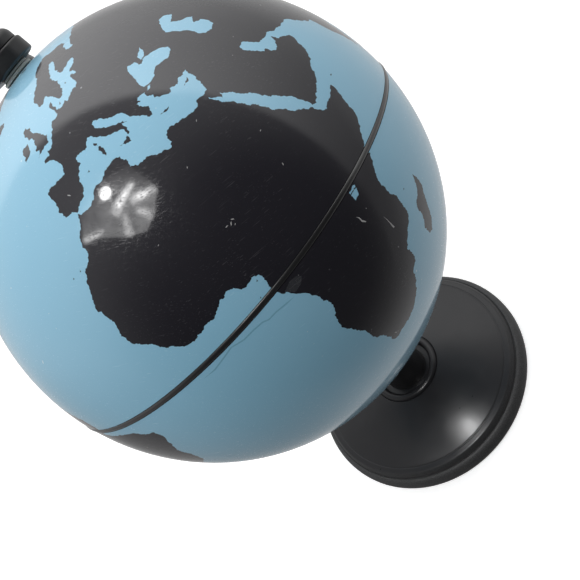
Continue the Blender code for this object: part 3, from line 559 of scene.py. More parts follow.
ISLANDS = [
    [(-22.5, 65.3), (-19, 65), (-14.8, 66.2), (-14.6, 67.4), (-18, 68), (-23, 67.4)],
    [(15, 79.3), (20, 79.4), (24, 80.3), (18, 81.2), (13.5, 80.6)],
    [(12.5, 37.9), (15.3, 38), (15, 36.7), (13.6, 37.2)],
    [(9.2, 42.7), (9.7, 41.9), (9.3, 41.4), (8.8, 42)],
    [(8.6, 40.6), (9.4, 41.2), (9.6, 39.6), (8.9, 38.8), (8.6, 39.6)],
    [(3, 39.6), (3.7, 39.8), (3.5, 39.3)],
    [(23.5, 35.4), (25, 35.3), (26.1, 35.1), (24.6, 34.9)],
    [(32.2, 35.1), (33.4, 35.4), (34.5, 35.7), (33.7, 34.9)],
    [(10.9, 55), (12.1, 55.6), (12, 54.9)],
    [(18.4, 57.9), (19, 58.3), (18.9, 57.6)],
    [(8.5, 3.6), (8.9, 3.9), (8.8, 3.4)],
    [(6.5, 1), (6.8, 1.3), (6.8, 0.9)],
    [(-16.6, 28.3), (-16.2, 28.6), (-16.1, 28.2)],
    [(-14, 28.4), (-13.6, 28.7), (-13.7, 28.2)],
    [(53.6, 12.9), (54.2, 13.1), (54.7, 12.9), (54.1, 12.7)],
    [(44, -12), (44.5, -11.8), (44.6, -12.2)],
    [(79.9, 8), (80.3, 9.7), (81.8, 7.4), (80.6, 6)],
    [(130.5, 31.4), (132, 33.4), (135.6, 33.6), (139, 34.8), (141, 36), (142, 39.6), (140.6, 41.2),
     (139.5, 38.5), (136.5, 36.8), (133, 35.4), (130.1, 33.5)],
    [(140, 42), (143.5, 42), (145.5, 43.3), (142, 45.4), (141.2, 43.5)],
    [(142, 46.2), (143.6, 49), (143, 54), (142, 52)],
    [(120.2, 23), (121, 22.2), (121.9, 25)],
    [(108.7, 19), (110.8, 19.4), (110.2, 20.1)],
    [(120.3, 16), (120.7, 18.5), (122.2, 18.3), (121.6, 15.4), (124, 12.8), (120.9, 13.8)],
    [(122, 7), (125.5, 6), (126.5, 8.4), (125, 9.8), (123.4, 8.6)],
    [(109, 1.5), (111.5, 2.6), (115, 5), (117, 7), (119, 5), (117.7, 1), (116.2, -3.6), (111.6, -3.3),
     (110, -1.3)],
    [(95.3, 5.6), (98.5, 3.6), (103.5, -0.6), (106, -3), (105.5, -5.8), (102, -4), (98.5, 0.5)],
    [(105.2, -6.7), (108.5, -6.5), (112.5, -6.8), (114.4, -7.8), (114, -8.6), (109, -7.8)],
    [(119.2, -3), (119.5, -5.5), (120.6, -5.4), (120.8, -3.2), (122.6, -4.8), (121.8, -1.2), (123.5, -0.7),
     (120.5, 0.4), (124.9, 1.5), (120.2, 1.1)],
    [(131, -0.8), (134.4, -0.9), (135, -3), (138, -1.7), (144, -4), (147.6, -6), (150.5, -10.3),
     (147, -9.5), (143, -9), (138.6, -8.3), (138.2, -5.5), (133, -4)],
    [(144.7, -40.8), (148.2, -40.9), (147.5, -43.4), (146, -43.4)],
    [(173, -34.5), (175.5, -36.8), (178.3, -37.8), (176, -41.3), (173.8, -39.3), (174.7, -38)],
    [(172.7, -40.6), (174.2, -41.7), (171, -44.5), (169, -46.6), (166.6, -46), (170, -43)],
    [(-62, 66), (-68, 62.8), (-78, 64.5), (-73.5, 68), (-82, 70), (-90, 73), (-80, 73.8), (-72, 71),
     (-67, 69)],
    [(-77, 76.5), (-90, 77), (-95, 80), (-85, 82.4), (-65, 82.8), (-70, 80)],
    [(-105, 69.2), (-117, 69.4), (-118, 72), (-105, 73)],
    [(-59, 47.7), (-53, 46.8), (-53.5, 49), (-56, 51.5)],
    [(-84.8, 22), (-80, 23.1), (-75, 20.7), (-77.5, 19.9), (-78.5, 21)],
    [(-74.3, 18.5), (-73, 19.9), (-69, 19.3), (-68.5, 18.2), (-72, 18.2)],
]
BLACK_SEA = [
    (27.6, 41.4), (27.6, 42.6), (28.4, 43.6), (29.1, 44.8), (29.6, 45.8), (30.5, 46.7), (31.4, 47.2),
    (32.4, 46.7), (33.3, 46.5), (33.3, 45.8), (32.9, 45.3), (33.6, 44.9), (35, 45.4), (36.4, 45.2),
    (37.5, 44.9), (38.8, 44.4), (40.4, 43.6), (41.3, 42.6), (40.4, 41.6), (38, 41.1), (35.9, 41.7),
    (34.4, 42.1), (33.4, 41.9), (31.6, 41.1), (30.1, 41), (28.6, 41.1),
]
CASPIAN_SEA = [
    (48.9, 40.4), (48.7, 38.8), (49.5, 37.7), (51.6, 37.1), (54, 37.5), (54.9, 38.8), (54.7, 40.3),
    (52.7, 41.1), (53.9, 41.7), (55.3, 42.1), (54.8, 42.8), (53, 43.6), (51.8, 44.9), (51.3, 45.5),
    (53.6, 45.9), (55.4, 46.4), (54.2, 47.8), (52.1, 48.1), (50, 47.5), (47.9, 46.2), (46.4, 45),
    (47.4, 43.8), (47.8, 42.5), (48.9, 41.3),
]
LAKES = [
    [(34.6, 45.6), (35.2, 46.7), (36.3, 47.1), (38, 47.5), (38.9, 47.8), (38, 46.6), (36.6, 45.8)],
    [(27, 40.4), (28.2, 40.9), (29.1, 40.7), (28.1, 40.3)],
    [(33.1, -1.1), (33.1, -1.55), (35.1, -1.6), (35.4, -1.3), (35, -0.95)],
    [(33, -1.75), (35.1, -1.75), (34.7, -2.5), (34.3, -3), (33, -3.1)],
    [(104, 51.6), (106.5, 52), (109.5, 55.3), (108.5, 55), (105.5, 52.4)],
    [(-92, 46.7), (-88.5, 48.5), (-84.8, 46.8), (-87.5, 46.6)],
    [(-87.6, 42), (-87.4, 45), (-84.8, 45.8), (-86.3, 43.5), (-86.6, 42)],
    [(-83.5, 45.3), (-80.5, 45.6), (-81.6, 43.3), (-83.3, 43.9)],
    [(-83.2, 41.7), (-79, 42.8), (-76.4, 44), (-79, 43.4), (-81, 42.7)],
]
# Small chips where the white shell shows: longitude, latitude, length and heading, in degrees.
CHIPS = [
    (-4.1, 39.6, 0.9, -60), (28.9, 12.4, 0.7, 60), (31.9, 19, 0.5, 10), (26.4, 29.3, 0.6, 30),
    (17.3, 25.6, 0.5, 40), (33.4, -5.9, 0.4, 70), (19.9, -32.8, 1.2, -70), (20.6, -33.3, 0.6, -60),
    (2.1, 21, 0.4, 15), (13, 13.9, 0.7, -10), (13.9, 13.6, 0.9, 35), (14.7, 13.9, 0.7, -50),
    (14.3, 13, 0.5, 20), (70, 31, 0.5, 40), (113, 38, 0.6, 80), (134, -25, 0.7, 20), (-99, 39, 0.6, -30),
    (-60, -12, 0.7, 50), (-45, -9, 0.5, -20),
]
# Long scuffs that also show the shell, a smudge on the land and the edge of a film on the ocean.
SCUFFS = [
    [(30.4, -4.9), (30.7, -5.7), (30.6, -6.6), (31.2, -7.4), (31.4, -7.3), (30.9, -6.4), (30.9, -5.6)],
    [(35.1, -10.2), (35.3, -11.1), (35.4, -12.6), (35.3, -13.9), (35.8, -14.2), (35.6, -12.8),
     (35.4, -11.2)],
]
SMUDGE_OUTLINE = [(10.3, -1.9), (12.5, -1.3), (13.9, -1.7), (14.6, -2.6), (13.4, -3.4), (11.6, -3.6)]
FILM_EDGE = [
    (10.9, -4), (8.7, -3.6), (6.3, -3.1), (4.4, -3), (3.3, -2.4), (1.1, -2.1), (-1.6, -2), (-4.3, -1.2),
    (-7.4, -1.7), (-10.1, -2.1), (-13.6, -1.9),
]
CHIP_CORNERS = ((-0.5, 0.0), (0.1, 0.16), (0.5, 0.02), (-0.1, -0.12))
FILM_WIDTH = 0.30
COAST_BREAKS = (0.35, 0.33)
LAKE_BREAKS = (0.4, 0.18)
SMALLEST_SHRINK = 0.2
OCEAN, LAND, CHIP, SMUDGE, FILM = range(5)
KIND_ORDER = (LAND, OCEAN, SMUDGE, FILM, CHIP)
ONLY_ON = {CHIP: LAND, SMUDGE: LAND, FILM: OCEAN}


def roughened(outline, longest, swing):
    """Break the outline's long sides at points pushed a little to either side, as coasts are."""
    draw = random.Random(len(outline))
    result = []

    def add(start, end):
        shrink = max(SMALLEST_SHRINK, math.cos(math.radians((start[1] + end[1]) / 2)))
        across = (end[0] - start[0]) * shrink
        along = end[1] - start[1]
        length = math.hypot(across, along)
        if length < longest:
            result.append(start)
            return
        push = draw.uniform(-swing, swing) * math.sqrt(longest / length)
        middle = (
            (start[0] + end[0]) / 2 - push * along / shrink,
            (start[1] + end[1]) / 2 + push * across,
        )
        add(start, middle)
        add(middle, end)

    for i, start in enumerate(outline):
        add(start, outline[(i + 1) % len(outline)])
    return result


def chip_outline(longitude, latitude, length, heading):
    """Narrow four-sided splinter."""
    shrink = math.cos(math.radians(latitude))
    direction = math.radians(heading)
    outline = []
    for ahead, aside in CHIP_CORNERS:
        east = length * (ahead * math.cos(direction) - aside * math.sin(direction))
        north = length * (ahead * math.sin(direction) + aside * math.cos(direction))
        outline.append((longitude + east / shrink, latitude + north))
    return outline


def ribbon(line, width):
    """Outline of a line near the equator drawn with a width that tapers to nothing at its ends."""
    sides = [], []
    for i in range(1, len(line) - 1):
        ahead = Vector(line[i + 1]) - Vector(line[i - 1])
        aside = ahead.orthogonal().normalized() * width / 2
        for side, sign in zip(sides, (1, -1)):
            side.append(tuple(Vector(line[i]) + aside * sign))
    return [line[0], *sides[0], line[-1], *reversed(sides[1])]


def map_outlines():
    """Every outline with what it encloses."""
    land = [AFRICA, EURASIA, AMERICAS, ANTARCTICA, AUSTRALIA, GREENLAND, BRITAIN, IRELAND, MADAGASCAR]
    water = [BLACK_SEA, CASPIAN_SEA]
    outlines = [(LAND, roughened(outline, *COAST_BREAKS)) for outline in land + ISLANDS]
    outlines += [(OCEAN, roughened(outline, *LAKE_BREAKS)) for outline in water + LAKES]
    outlines += [(CHIP, chip_outline(*chip)) for chip in CHIPS]
    outlines += [(CHIP, scuff) for scuff in SCUFFS]
    outlines += [(SMUDGE, SMUDGE_OUTLINE), (FILM, ribbon(FILM_EDGE, FILM_WIDTH))]
    return outlines


# ---------------- sphere
def flat_place(longitude, latitude, side):
    """Place on the polar chart of the north (+1) or south (-1) half: degrees from the pole, by longitude."""
    return Vector(around(90.0 - side * latitude, math.radians(longitude)))


def sphere_place(point, side):
    """Unit vector, in the polar frame, of a place on the polar chart."""
    reach = math.radians(point.length)
    turn = math.atan2(point.y, point.x) + PRIME_MERIDIAN
    return Vector((*around(math.sin(reach), turn), side * math.cos(reach)))


def within(point, reach, sides):
    """Whether a place on the chart lies inside the regular polygon that stands for a circle of latitude."""
    step = 2 * math.pi / sides
    sector = math.floor(math.atan2(point.y, point.x) / step) + 0.5
    return point.dot(Vector(around(1.0, sector * step))) < reach * math.cos(step / 2)


def wound(loop, places):
    """Which of the places lie inside the loop, by its winding number."""
    x, y = places.T
    winding = np.zeros(len(places), dtype=int)
    for (ax, ay), (bx, by) in zip(loop, loop[1:] + loop[:1]):
        left = (bx - ax) * (y - ay) > (x - ax) * (by - ay)
        winding += (ay <= y) & (by > y) & left
        winding -= (ay > y) & (by <= y) & ~left
    return winding != 0


def fill_places(start, end, coast):
    """Staggered circles of places between two circles, clear of the coasts."""
    row = 0
    reach = start + FILL_SPACING / 2
    while reach < end - FILL_SPACING / 3:
        count = max(HOLE_SIDES // 2, round(360.0 * math.sin(math.radians(reach)) / FILL_SPACING))
        for turn in turns(count, 0.5 * (row % 2)):
            point = Vector(around(reach, turn))
            if coast.find(point.to_3d())[2] > FILL_SPACING / 3:
                yield point
        reach += FILL_SPACING * FILL_ROW_SHARE
        row += 1


def chart_faces(side, outlines):
    """Triangulate one half's chart along every coast.  Returns places, triangles and their kinds."""
    seam_reach = 90.0 - math.degrees(math.asin(REBATE_HALF_WIDTH / GLOBE_RADIUS))
    hole_reach = math.degrees(math.asin(POLE_HOLE_RADIUS / GLOBE_RADIUS))
    points, edges, loops = [], [], []

    def add_loop(loop):
        first = len(points)
        points.extend(loop)
        ids = list(range(first, len(points)))
        edges.extend((ids[i - 1], ids[i]) for i in range(len(ids)))

    for reach, sides in ((seam_reach, SEAM_SIDES), (hole_reach, HOLE_SIDES)):
        add_loop([Vector(around(reach, turn)) for turn in turns(sides)])
    for kind, outline in outlines:
        if max(side * latitude for _, latitude in outline) > 0.0:
            loop = [flat_place(longitude, latitude, side) for longitude, latitude in outline]
            add_loop(loop)
            loops.append((kind, loop))

    coast = KDTree(len(points))
    for i, point in enumerate(points):
        coast.insert(point.to_3d(), i)
    coast.balance()
    points.extend(fill_places(hole_reach, seam_reach, coast))

    places, _, triangles, *_ = delaunay_2d_cdt(points, edges, [], 0, WELD_DISTANCE)
    middles = [sum((places[i] for i in triangle), Vector((0.0, 0.0))) / 3 for triangle in triangles]
    kept = [
        i for i, middle in enumerate(middles)
        if within(middle, seam_reach, SEAM_SIDES) and not within(middle, hole_reach, HOLE_SIDES)
    ]
    kept_places = np.array([middles[i] for i in kept])
    kinds = np.full(len(kept), OCEAN)
    for kind, loop in sorted(loops, key=lambda item: KIND_ORDER.index(item[0])):
        inside = wound([tuple(point) for point in loop], kept_places)
        if kind in ONLY_ON:
            inside &= kinds == ONLY_ON[kind]
        kinds[inside] = kind
    return places, [triangles[i] for i in kept], [int(kind) for kind in kinds]


def zipped(first, second):
    """Triangles between two rings of (turn, vertex) that are sorted by turn, all the way round."""
    first = first + [(first[0][0] + 2 * math.pi, first[0][1])]
    second = second + [(second[0][0] + 2 * math.pi, second[0][1])]
    faces = []
    i = j = 0
    while i < len(first) - 1 or j < len(second) - 1:
        if j == len(second) - 1 or (i < len(first) - 1 and first[i + 1][0] <= second[j + 1][0]):
            faces.append((first[i][1], first[i + 1][1], second[j][1]))
            i += 1
        else:
            faces.append((first[i][1], second[j + 1][1], second[j][1]))
            j += 1
    return faces


def border_rings(verts, triangles):
    """The seam ring and the pole ring of the outer skin, as sorted lists of (turn, vertex)."""
    uses = {}
    for triangle in triangles:
        for i in range(3):
            edge = frozenset((triangle[i - 1], triangle[i]))
            uses[edge] = uses.get(edge, 0) + 1
    rings = ([], [])
    for vertex in {vertex for edge, count in uses.items() if count == 1 for vertex in edge}:
        place = verts[vertex]
        near_pole = math.hypot(place.x, place.y) < GLOBE_RADIUS / 2
        rings[near_pole].append((math.atan2(place.y, place.x) % (2 * math.pi), vertex))
    return sorted(rings[0]), sorted(rings[1])


def half_shell(name, side, outlines, materials):
    """Half of the sphere: printed skin, rebate for the band, lining and pole hole, as one closed shell."""
    places, triangles, kinds = chart_faces(side, outlines)
    used = sorted({i for triangle in triangles for i in triangle})
    index = {old: new for new, old in enumerate(used)}
    verts = [sphere_place(places[i], side) * GLOBE_RADIUS for i in used]
    skin = [tuple(index[i] for i in triangle) for triangle in triangles]
    seam, hole = border_rings(verts, skin)
    faces = list(skin)

    def ring(ring_turns, radius, height):
        first = len(verts)
        verts.extend(Vector((*around(radius, turn), side * height)) for turn in ring_turns)
        return [(turn, first + k) for k, turn in enumerate(ring_turns)]

    seam_turns = [turn for turn, _ in seam]
    rows = [seam]
    for height in (REBATE_HALF_WIDTH, GAP / 2):
        rows.append(ring(seam_turns, REBATE_RADIUS, height))
    start = math.asin(GAP / 2 / INNER_RADIUS)
    end = math.acos(POLE_HOLE_RADIUS / INNER_RADIUS)
    for share in shares(LINING_STEPS):
        rows.append(ring(turns(LINING_SIDES), *around(INNER_RADIUS, start + (end - start) * share)))
    rows.append(hole)
    for row, following in zip(rows, rows[1:]):
        added = zipped(row, following)
        faces += added
        kinds += [LAND if row in rows[:2] else OCEAN] * len(added)

    item = new_object(name, verts, faces, POLAR_FRAME)
    mesh = item.data
    for material in materials:
        mesh.materials.append(material)
    mesh.polygons.foreach_set("material_index", kinds)
    mesh.shade_smooth()
    normals = []
    for polygon in mesh.polygons:
        on_skin = polygon.index < len(skin)
        for vertex in polygon.vertices:
            outward = mesh.vertices[vertex].co - GLOBE_CENTRE
            normals.append(outward.normalized() if on_skin else polygon.normal)
    mesh.normals_split_custom_set(normals)
    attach(item, "globe")
    return item


def equator_band(material):
    """Strip with a slightly crowned face, so its edges catch a little light."""
    inner = BAND_RADIUS - BAND_THICKNESS
    crown = []
    for share in shares(8):
        across = 2 * share - 1
        crown.append((BAND_RADIUS - BAND_CROWN * across ** 2, BAND_HALF_WIDTH * across))
    outline = [(inner, -BAND_HALF_WIDTH)] + crown + [(inner, BAND_HALF_WIDTH)]
    band = turned("seam_band", rounded(outline, BAND_ROUNDING, 2), SEAM_SIDES, POLAR_FRAME)
    smooth(band)
    fit_out(band, material, "equator_band", "globe", "equator_band")


# ---------------- pole fittings
def polar_turned(name, outline, side, round_off, steps=3):
    """Piece turned about the polar axis at the north (+1) or south (-1) pole."""
    mirrored = [(radius, side * height) for radius, height in rounded(outline, round_off, steps)]
    return turned(name, mirrored, POLAR_SIDES, POLAR_FRAME)


def polar_piece(name, outline, side, material, slot, body, node, round_off=POLAR_ROUNDING):
    """Turned pole fitting with its looks and its body; slot is not used."""
    item = polar_turned(name, outline, side, round_off)
    smooth(item)
    fit_out(item, material, slot, body, node)


def bored(bore, radius, bottom, top):
    """Outline of a disc with a hole."""
    return [(bore, bottom), (radius, bottom), (radius, top), (bore, top)]


def bush_outline():
    bore = PIVOT_RADIUS + BUSH_CLEARANCE
    return [
        (bore, BUSH_INNER_END), (BUSH_SHANK_RADIUS, BUSH_INNER_END),
        (BUSH_SHANK_RADIUS, BUSH_FLANGE_START), (BUSH_FLANGE_RADIUS, BUSH_FLANGE_START),
        (BUSH_FLANGE_RADIUS, BUSH_FLANGE_END), (bore, BUSH_FLANGE_END),
    ]


def cap_outline(radius, height):
    """Low domed cap with a straight skirt, hollow over the pivot screw's head."""
    flat = radius * CAP_FLAT_SHARE
    skirt = CAP_START + height * CAP_SKIRT_SHARE
    dome = []
    for share in shares(16):
        across, up = around(1.0, math.pi / 2 * share)
        dome.append((flat + (radius - flat) * across, skirt + height * (1 - CAP_SKIRT_SHARE) * up))
    cavity_top = CAP_START + CAP_CAVITY_DEPTH
    cavity = [
        (0.0, cavity_top), (CAP_CAVITY_RADIUS, cavity_top), (CAP_CAVITY_RADIUS, CAP_START),
        (radius, CAP_START),
    ]
    return cavity + dome + [(0.0, CAP_START + height)]


# ---------------- arm
def arm_strip():
    """Half-round strip with soft edges, swept from the north pad over the +X side to the south pad."""
    section = rounded([
        (ARM_INNER_RADIUS, -ARM_HALF_WIDTH), (ARM_OUTER_RADIUS, -ARM_HALF_WIDTH),
        (ARM_OUTER_RADIUS, ARM_HALF_WIDTH), (ARM_INNER_RADIUS, ARM_HALF_WIDTH),
    ], ARM_ROUNDING, 5)
    start = math.asin(PAD_RADIUS / 2 / ARM_INNER_RADIUS)
    verts, faces = [], []
    count = len(section)
    for share in shares(ARM_STEPS):
        angle = start + (math.pi - 2 * start) * share
        for radius, across in section:
            verts.append((radius * math.sin(angle), across, radius * math.cos(angle)))
    for step in range(ARM_STEPS):
        for k in range(count):
            a = step * count + k
            b = step * count + (k + 1) % count
            faces.append((a, b, b + count, a + count))
    faces.append(tuple(range(count)))
    faces.append(tuple(range(ARM_STEPS * count, (ARM_STEPS + 1) * count)))
    return new_object("globe_arm", verts, faces, POLAR_FRAME)


def arm_tenon():
    """Shoulder and upright tenon below the arm, with a neck that runs up into the strip."""
    shoulder = PEDESTAL_TOP + GAP
    bore_top = NUT_BOTTOM + NUT_THICKNESS + BOLT_OVERRUN
    outline = [
        (0.0, bore_top), (BOLT_HOLE_RADIUS, bore_top), (BOLT_HOLE_RADIUS, TENON_BOTTOM),
        (TENON_RADIUS, TENON_BOTTOM), (TENON_RADIUS, shoulder), (PEDESTAL_TOP_RADIUS, shoulder),
        (PEDESTAL_TOP_RADIUS, shoulder + SHOULDER_THICKNESS),
        (NECK_RADIUS + NECK_FLARE, shoulder + NECK_START),
        (NECK_RADIUS, ARM_BOTTOM + NECK_OVERLAP), (0.0, ARM_BOTTOM + NECK_OVERLAP),
    ]
    tenon = turned("arm_tenon", rounded(outline, EDGE_ROUNDING), POLAR_SIDES)
    combine(tenon, nut_slot(), "DIFFERENCE")
    return tenon


def nut_slot():
    """Side slot in the tenon for the tie nut."""
    builder = bmesh.new()
    bmesh.ops.create_cube(builder, size=1.0)
    reach = TENON_RADIUS + 2 * CUT_MARGIN
    length = reach + NUT_RADIUS + GAP
    size = (2 * (NUT_HALF_FLATS + GAP), length, NUT_THICKNESS + 2 * GAP)
    bmesh.ops.scale(builder, verts=builder.verts, vec=size)
    centre = (0.0, reach - length / 2, NUT_BOTTOM + NUT_THICKNESS / 2)
    bmesh.ops.translate(builder, verts=builder.verts, vec=centre)
    mesh = bpy.data.meshes.new("nut_slot")
    builder.to_mesh(mesh)
    builder.free()
    return linked("nut_slot", mesh)


def globe_arm(material):
    arm = arm_strip()
    pad = bored(PIVOT_RADIUS + GAP, PAD_RADIUS, PAD_START, PAD_END)
    for side in (1, -1):
        combine(arm, polar_turned("end_pad", pad, side, PAD_ROUNDING, 4), "UNION")
    combine(arm, arm_tenon(), "UNION")
    smooth(arm)
    fit_out(arm, material, "arm_plastic", "stand", "meridian_arm")


# ---------------- pedestal and foot
def pedestal_stem(material):
    bottom = SEAT_HEIGHT + GAP
    outer = []
    for share in shares(32):
        flare = (PEDESTAL_FOOT_RADIUS - PEDESTAL_TOP_RADIUS) * (1 - share) ** PEDESTAL_FLARE
        outer.append((PEDESTAL_TOP_RADIUS + flare, bottom + (PEDESTAL_TOP - bottom) * share))
    socket = TENON_RADIUS + GAP
    inner = [
        (socket, PEDESTAL_TOP), (socket, TENON_BOTTOM - GAP), (socket + GAP, TENON_BOTTOM - SOCKET_STEP),
        (PEDESTAL_FOOT_RADIUS - PEDESTAL_WALL, bottom),
    ]
    stem = turned("pedestal_stem", rounded(outer + inner, EDGE_ROUNDING), PEDESTAL_SIDES)
    smooth(stem)
    fit_out(stem, material, "arm_plastic", "stand", "pedestal")


def collar_ring(material):
    """Round-topped ring that frames the pedestal's foot."""
    outer = DOME_START_RADIUS - GAP / 3
    bottom = SEAT_HEIGHT + GAP
    half_width = (outer - COLLAR_INNER_RADIUS) / 2
    crown = []
    for share in shares(24):
        across, up = around(1.0, math.pi * share)
        height = bottom + GAP + (COLLAR_CREST_HEIGHT - bottom - GAP) * up
        crown.append((COLLAR_INNER_RADIUS + half_width * (1 + across), height))
    collar = turned("collar_ring", [(COLLAR_INNER_RADIUS, bottom), (outer, bottom)] + crown, COLLAR_SIDES)
    smooth(collar)
    fit_out(collar, material, "base_plastic", "stand", "pedestal_collar")


def dome_height(radius):
    """Height of the foot's shallow dome above the floor."""
    return DOME_START_HEIGHT - (radius ** 2 - DOME_START_RADIUS ** 2) / (2 * DOME_CURVE_RADIUS)


def dome_line(start, end, steps, drop=0.0):
    """Points along the dome, or along the ceiling at a drop below it."""
    radii = [start + (end - start) * share for share in shares(steps)]
    return [(radius, dome_height(radius) - drop) for radius in radii]


def quarter_round(start, end, steps):
    """Quarter of an ellipse that leaves start level and reaches end upright."""
    points = []
    for share in shares(steps):
        up, across = around(1.0, math.pi / 2 * share)
        points.append((start[0] + (end[0] - start[0]) * across, end[1] + (start[1] - end[1]) * up))
    return points


def foot_outline():
    """Foot from the bolt hole over the dome, its edge groove, the shoulder, the valley and the wall."""
    edge = dome_height(DOME_EDGE_RADIUS)
    shoulder = edge - GROOVE_DEPTH / 2
    groove = [
        (DOME_EDGE_RADIUS + GROOVE_DEPTH, edge - GROOVE_DEPTH * 0.7),
        (DOME_EDGE_RADIUS + GROOVE_DEPTH * 2, edge - GROOVE_DEPTH),
        (DOME_EDGE_RADIUS + GROOVE_DEPTH * 3, shoulder - GROOVE_DEPTH / 4),
    ]
    round_start = (VALLEY_RADIUS - SHOULDER_WIDTH, shoulder - GROOVE_DEPTH)
    wall_start = (VALLEY_RADIUS + 2 * GROOVE_DEPTH, VALLEY_HEIGHT + GROOVE_DEPTH)
    outer = [(BOLT_HOLE_RADIUS, SEAT_HEIGHT), (DOME_START_RADIUS, SEAT_HEIGHT)]
    outer += dome_line(DOME_START_RADIUS, DOME_EDGE_RADIUS, 32) + groove
    outer += quarter_round(round_start, (VALLEY_RADIUS, VALLEY_HEIGHT), 12)
    outer += quarter_round(wall_start, (FOOT_RADIUS, RIM_WALL_TOP), 16) + [(FOOT_RADIUS, RIM_BOTTOM)]
    lining = [
        (COVER_RADIUS + 2 * GAP, RIM_BOTTOM), (COVER_RADIUS + 2 * GAP, COVER_TOP + GAP),
        (VALLEY_RADIUS - FOOT_WALL, VALLEY_HEIGHT - FOOT_WALL),
    ]
    lining += dome_line(DOME_EDGE_RADIUS - FOOT_WALL, DOME_START_RADIUS + FOOT_WALL, 8, FOOT_WALL)
    ceiling = SEAT_HEIGHT - FOOT_WALL
    lining += [
        (DOME_START_RADIUS, ceiling), (BOSS_RADIUS, ceiling), (BOSS_RADIUS, BOSS_BOTTOM),
        (BOLT_HOLE_RADIUS, BOSS_BOTTOM),
    ]
    return outer + lining


def screw_places():
    """Where each cover screw stands."""
    for turn in turns(SCREW_COUNT, 0.5):
        yield Matrix.Translation((*around(POST_CIRCLE_RADIUS, turn), 0.0))


def foot_shell(material):
    foot = turned("foot_shell", rounded(foot_outline(), EDGE_ROUNDING), FOOT_SIDES)
    post = bored(0.0, POST_RADIUS, COVER_TOP + GAP, POST_TOP)
    hole = bored(0.0, SCREW_HOLE_RADIUS, 0.0, POST_HOLE_TOP)
    for place in screw_places():
        combine(foot, turned("post", post, POST_SIDES, place), "UNION")
        combine(foot, turned("post_hole", hole, SCREW_HOLE_SIDES, place), "DIFFERENCE")
    smooth(foot)
    fit_out(foot, material, "base_plastic", "stand", "base_shell")


def cover_disc(material):
    outline = rounded(bored(0.0, COVER_RADIUS, COVER_BOTTOM, COVER_TOP), COVER_ROUNDING)
    cover = turned("cover_disc", outline, FOOT_SIDES)
    below, above = COVER_BOTTOM - CUT_MARGIN, COVER_TOP + CUT_MARGIN
    rim = COVER_BOTTOM + GAP
    sink = [
        (0.0, below), (SCREW_SINK_RADIUS, below), (SCREW_SINK_RADIUS, rim),
        (SCREW_HOLE_RADIUS, rim + SCREW_SINK_DEPTH), (SCREW_HOLE_RADIUS, above), (0.0, above),
    ]
    for place in screw_places():
        combine(cover, turned("sink", sink, POST_SIDES, place), "DIFFERENCE")
    smooth(cover)
    fit_out(cover, material, "base_plastic", "stand", "base_cover")


def felt_pad(material):
    """Felt disc with a slightly uneven cut edge and soft corners."""
    outline = rounded(bored(0.0, FELT_RADIUS, 0.0, COVER_BOTTOM - GAP), COVER_ROUNDING)
    pad = turned("felt_pad", outline, FELT_SIDES)
    draw = random.Random(7)
    phases = [(draw.randint(9, 60), draw.uniform(0, 2 * math.pi)) for _ in range(6)]
    for vertex in pad.data.vertices:
        if math.hypot(vertex.co.x, vertex.co.y) > FELT_RADIUS / 2:
            turn = math.atan2(vertex.co.y, vertex.co.x)
            wander = sum(math.sin(count * turn + phase) for count, phase in phases)
            vertex.co.xy *= 1 + FELT_WANDER * wander
    smooth(pad)
    fit_out(pad, material, "felt", "stand", "base_felt")


# ---------------- materials
# Noise scales are per metre, and bump depths are in metres.
HAIRLINE_TURNS = ((0.3, 0.5, 0.2), (1.1, -0.4, 0.9), (-0.6, 1.2, 1.9), (0.9, 0.3, 2.6))
HAIRLINE_FINENESS = 2600.0
HAIRLINE_LENGTHWISE = 75.0
HAIRLINE_COAT_ROUGHNESS = 0.21
WHITE_SPECK = (0.62, 0.78, 0.86)
GREY_SPECK = (0.24, 0.24, 0.25)


def hairlines(g):
    """Fine scratches in several headings, each where its heading lies in the surface: sharp and faint."""
    sharp = faint = 0.0
    for turn in HAIRLINE_TURNS:
        space = g.stretched((HAIRLINE_FINENESS, HAIRLINE_LENGTHWISE, HAIRLINE_FINENESS), turn, GLOBE_CENTRE)
        along = g.math("ABSOLUTE", g.add("ShaderNodeSeparateXYZ", {"Vector": space}).outputs["Y"])
        reach = HAIRLINE_LENGTHWISE * GLOBE_RADIUS
        lying = g.ramp(along, 0.5 * reach, 0.8 * reach, 1.0, 0.0)
        streaks = g.noise(1.0, 1.0, 0.4, space)
        sharp = g.math("MAXIMUM", sharp, g.math("MULTIPLY", g.ramp(streaks, 0.69, 0.76), lying))
        faint = g.math("MAXIMUM", faint, g.math("MULTIPLY", g.ramp(streaks, 0.58, 0.74), lying))
    return sharp, faint


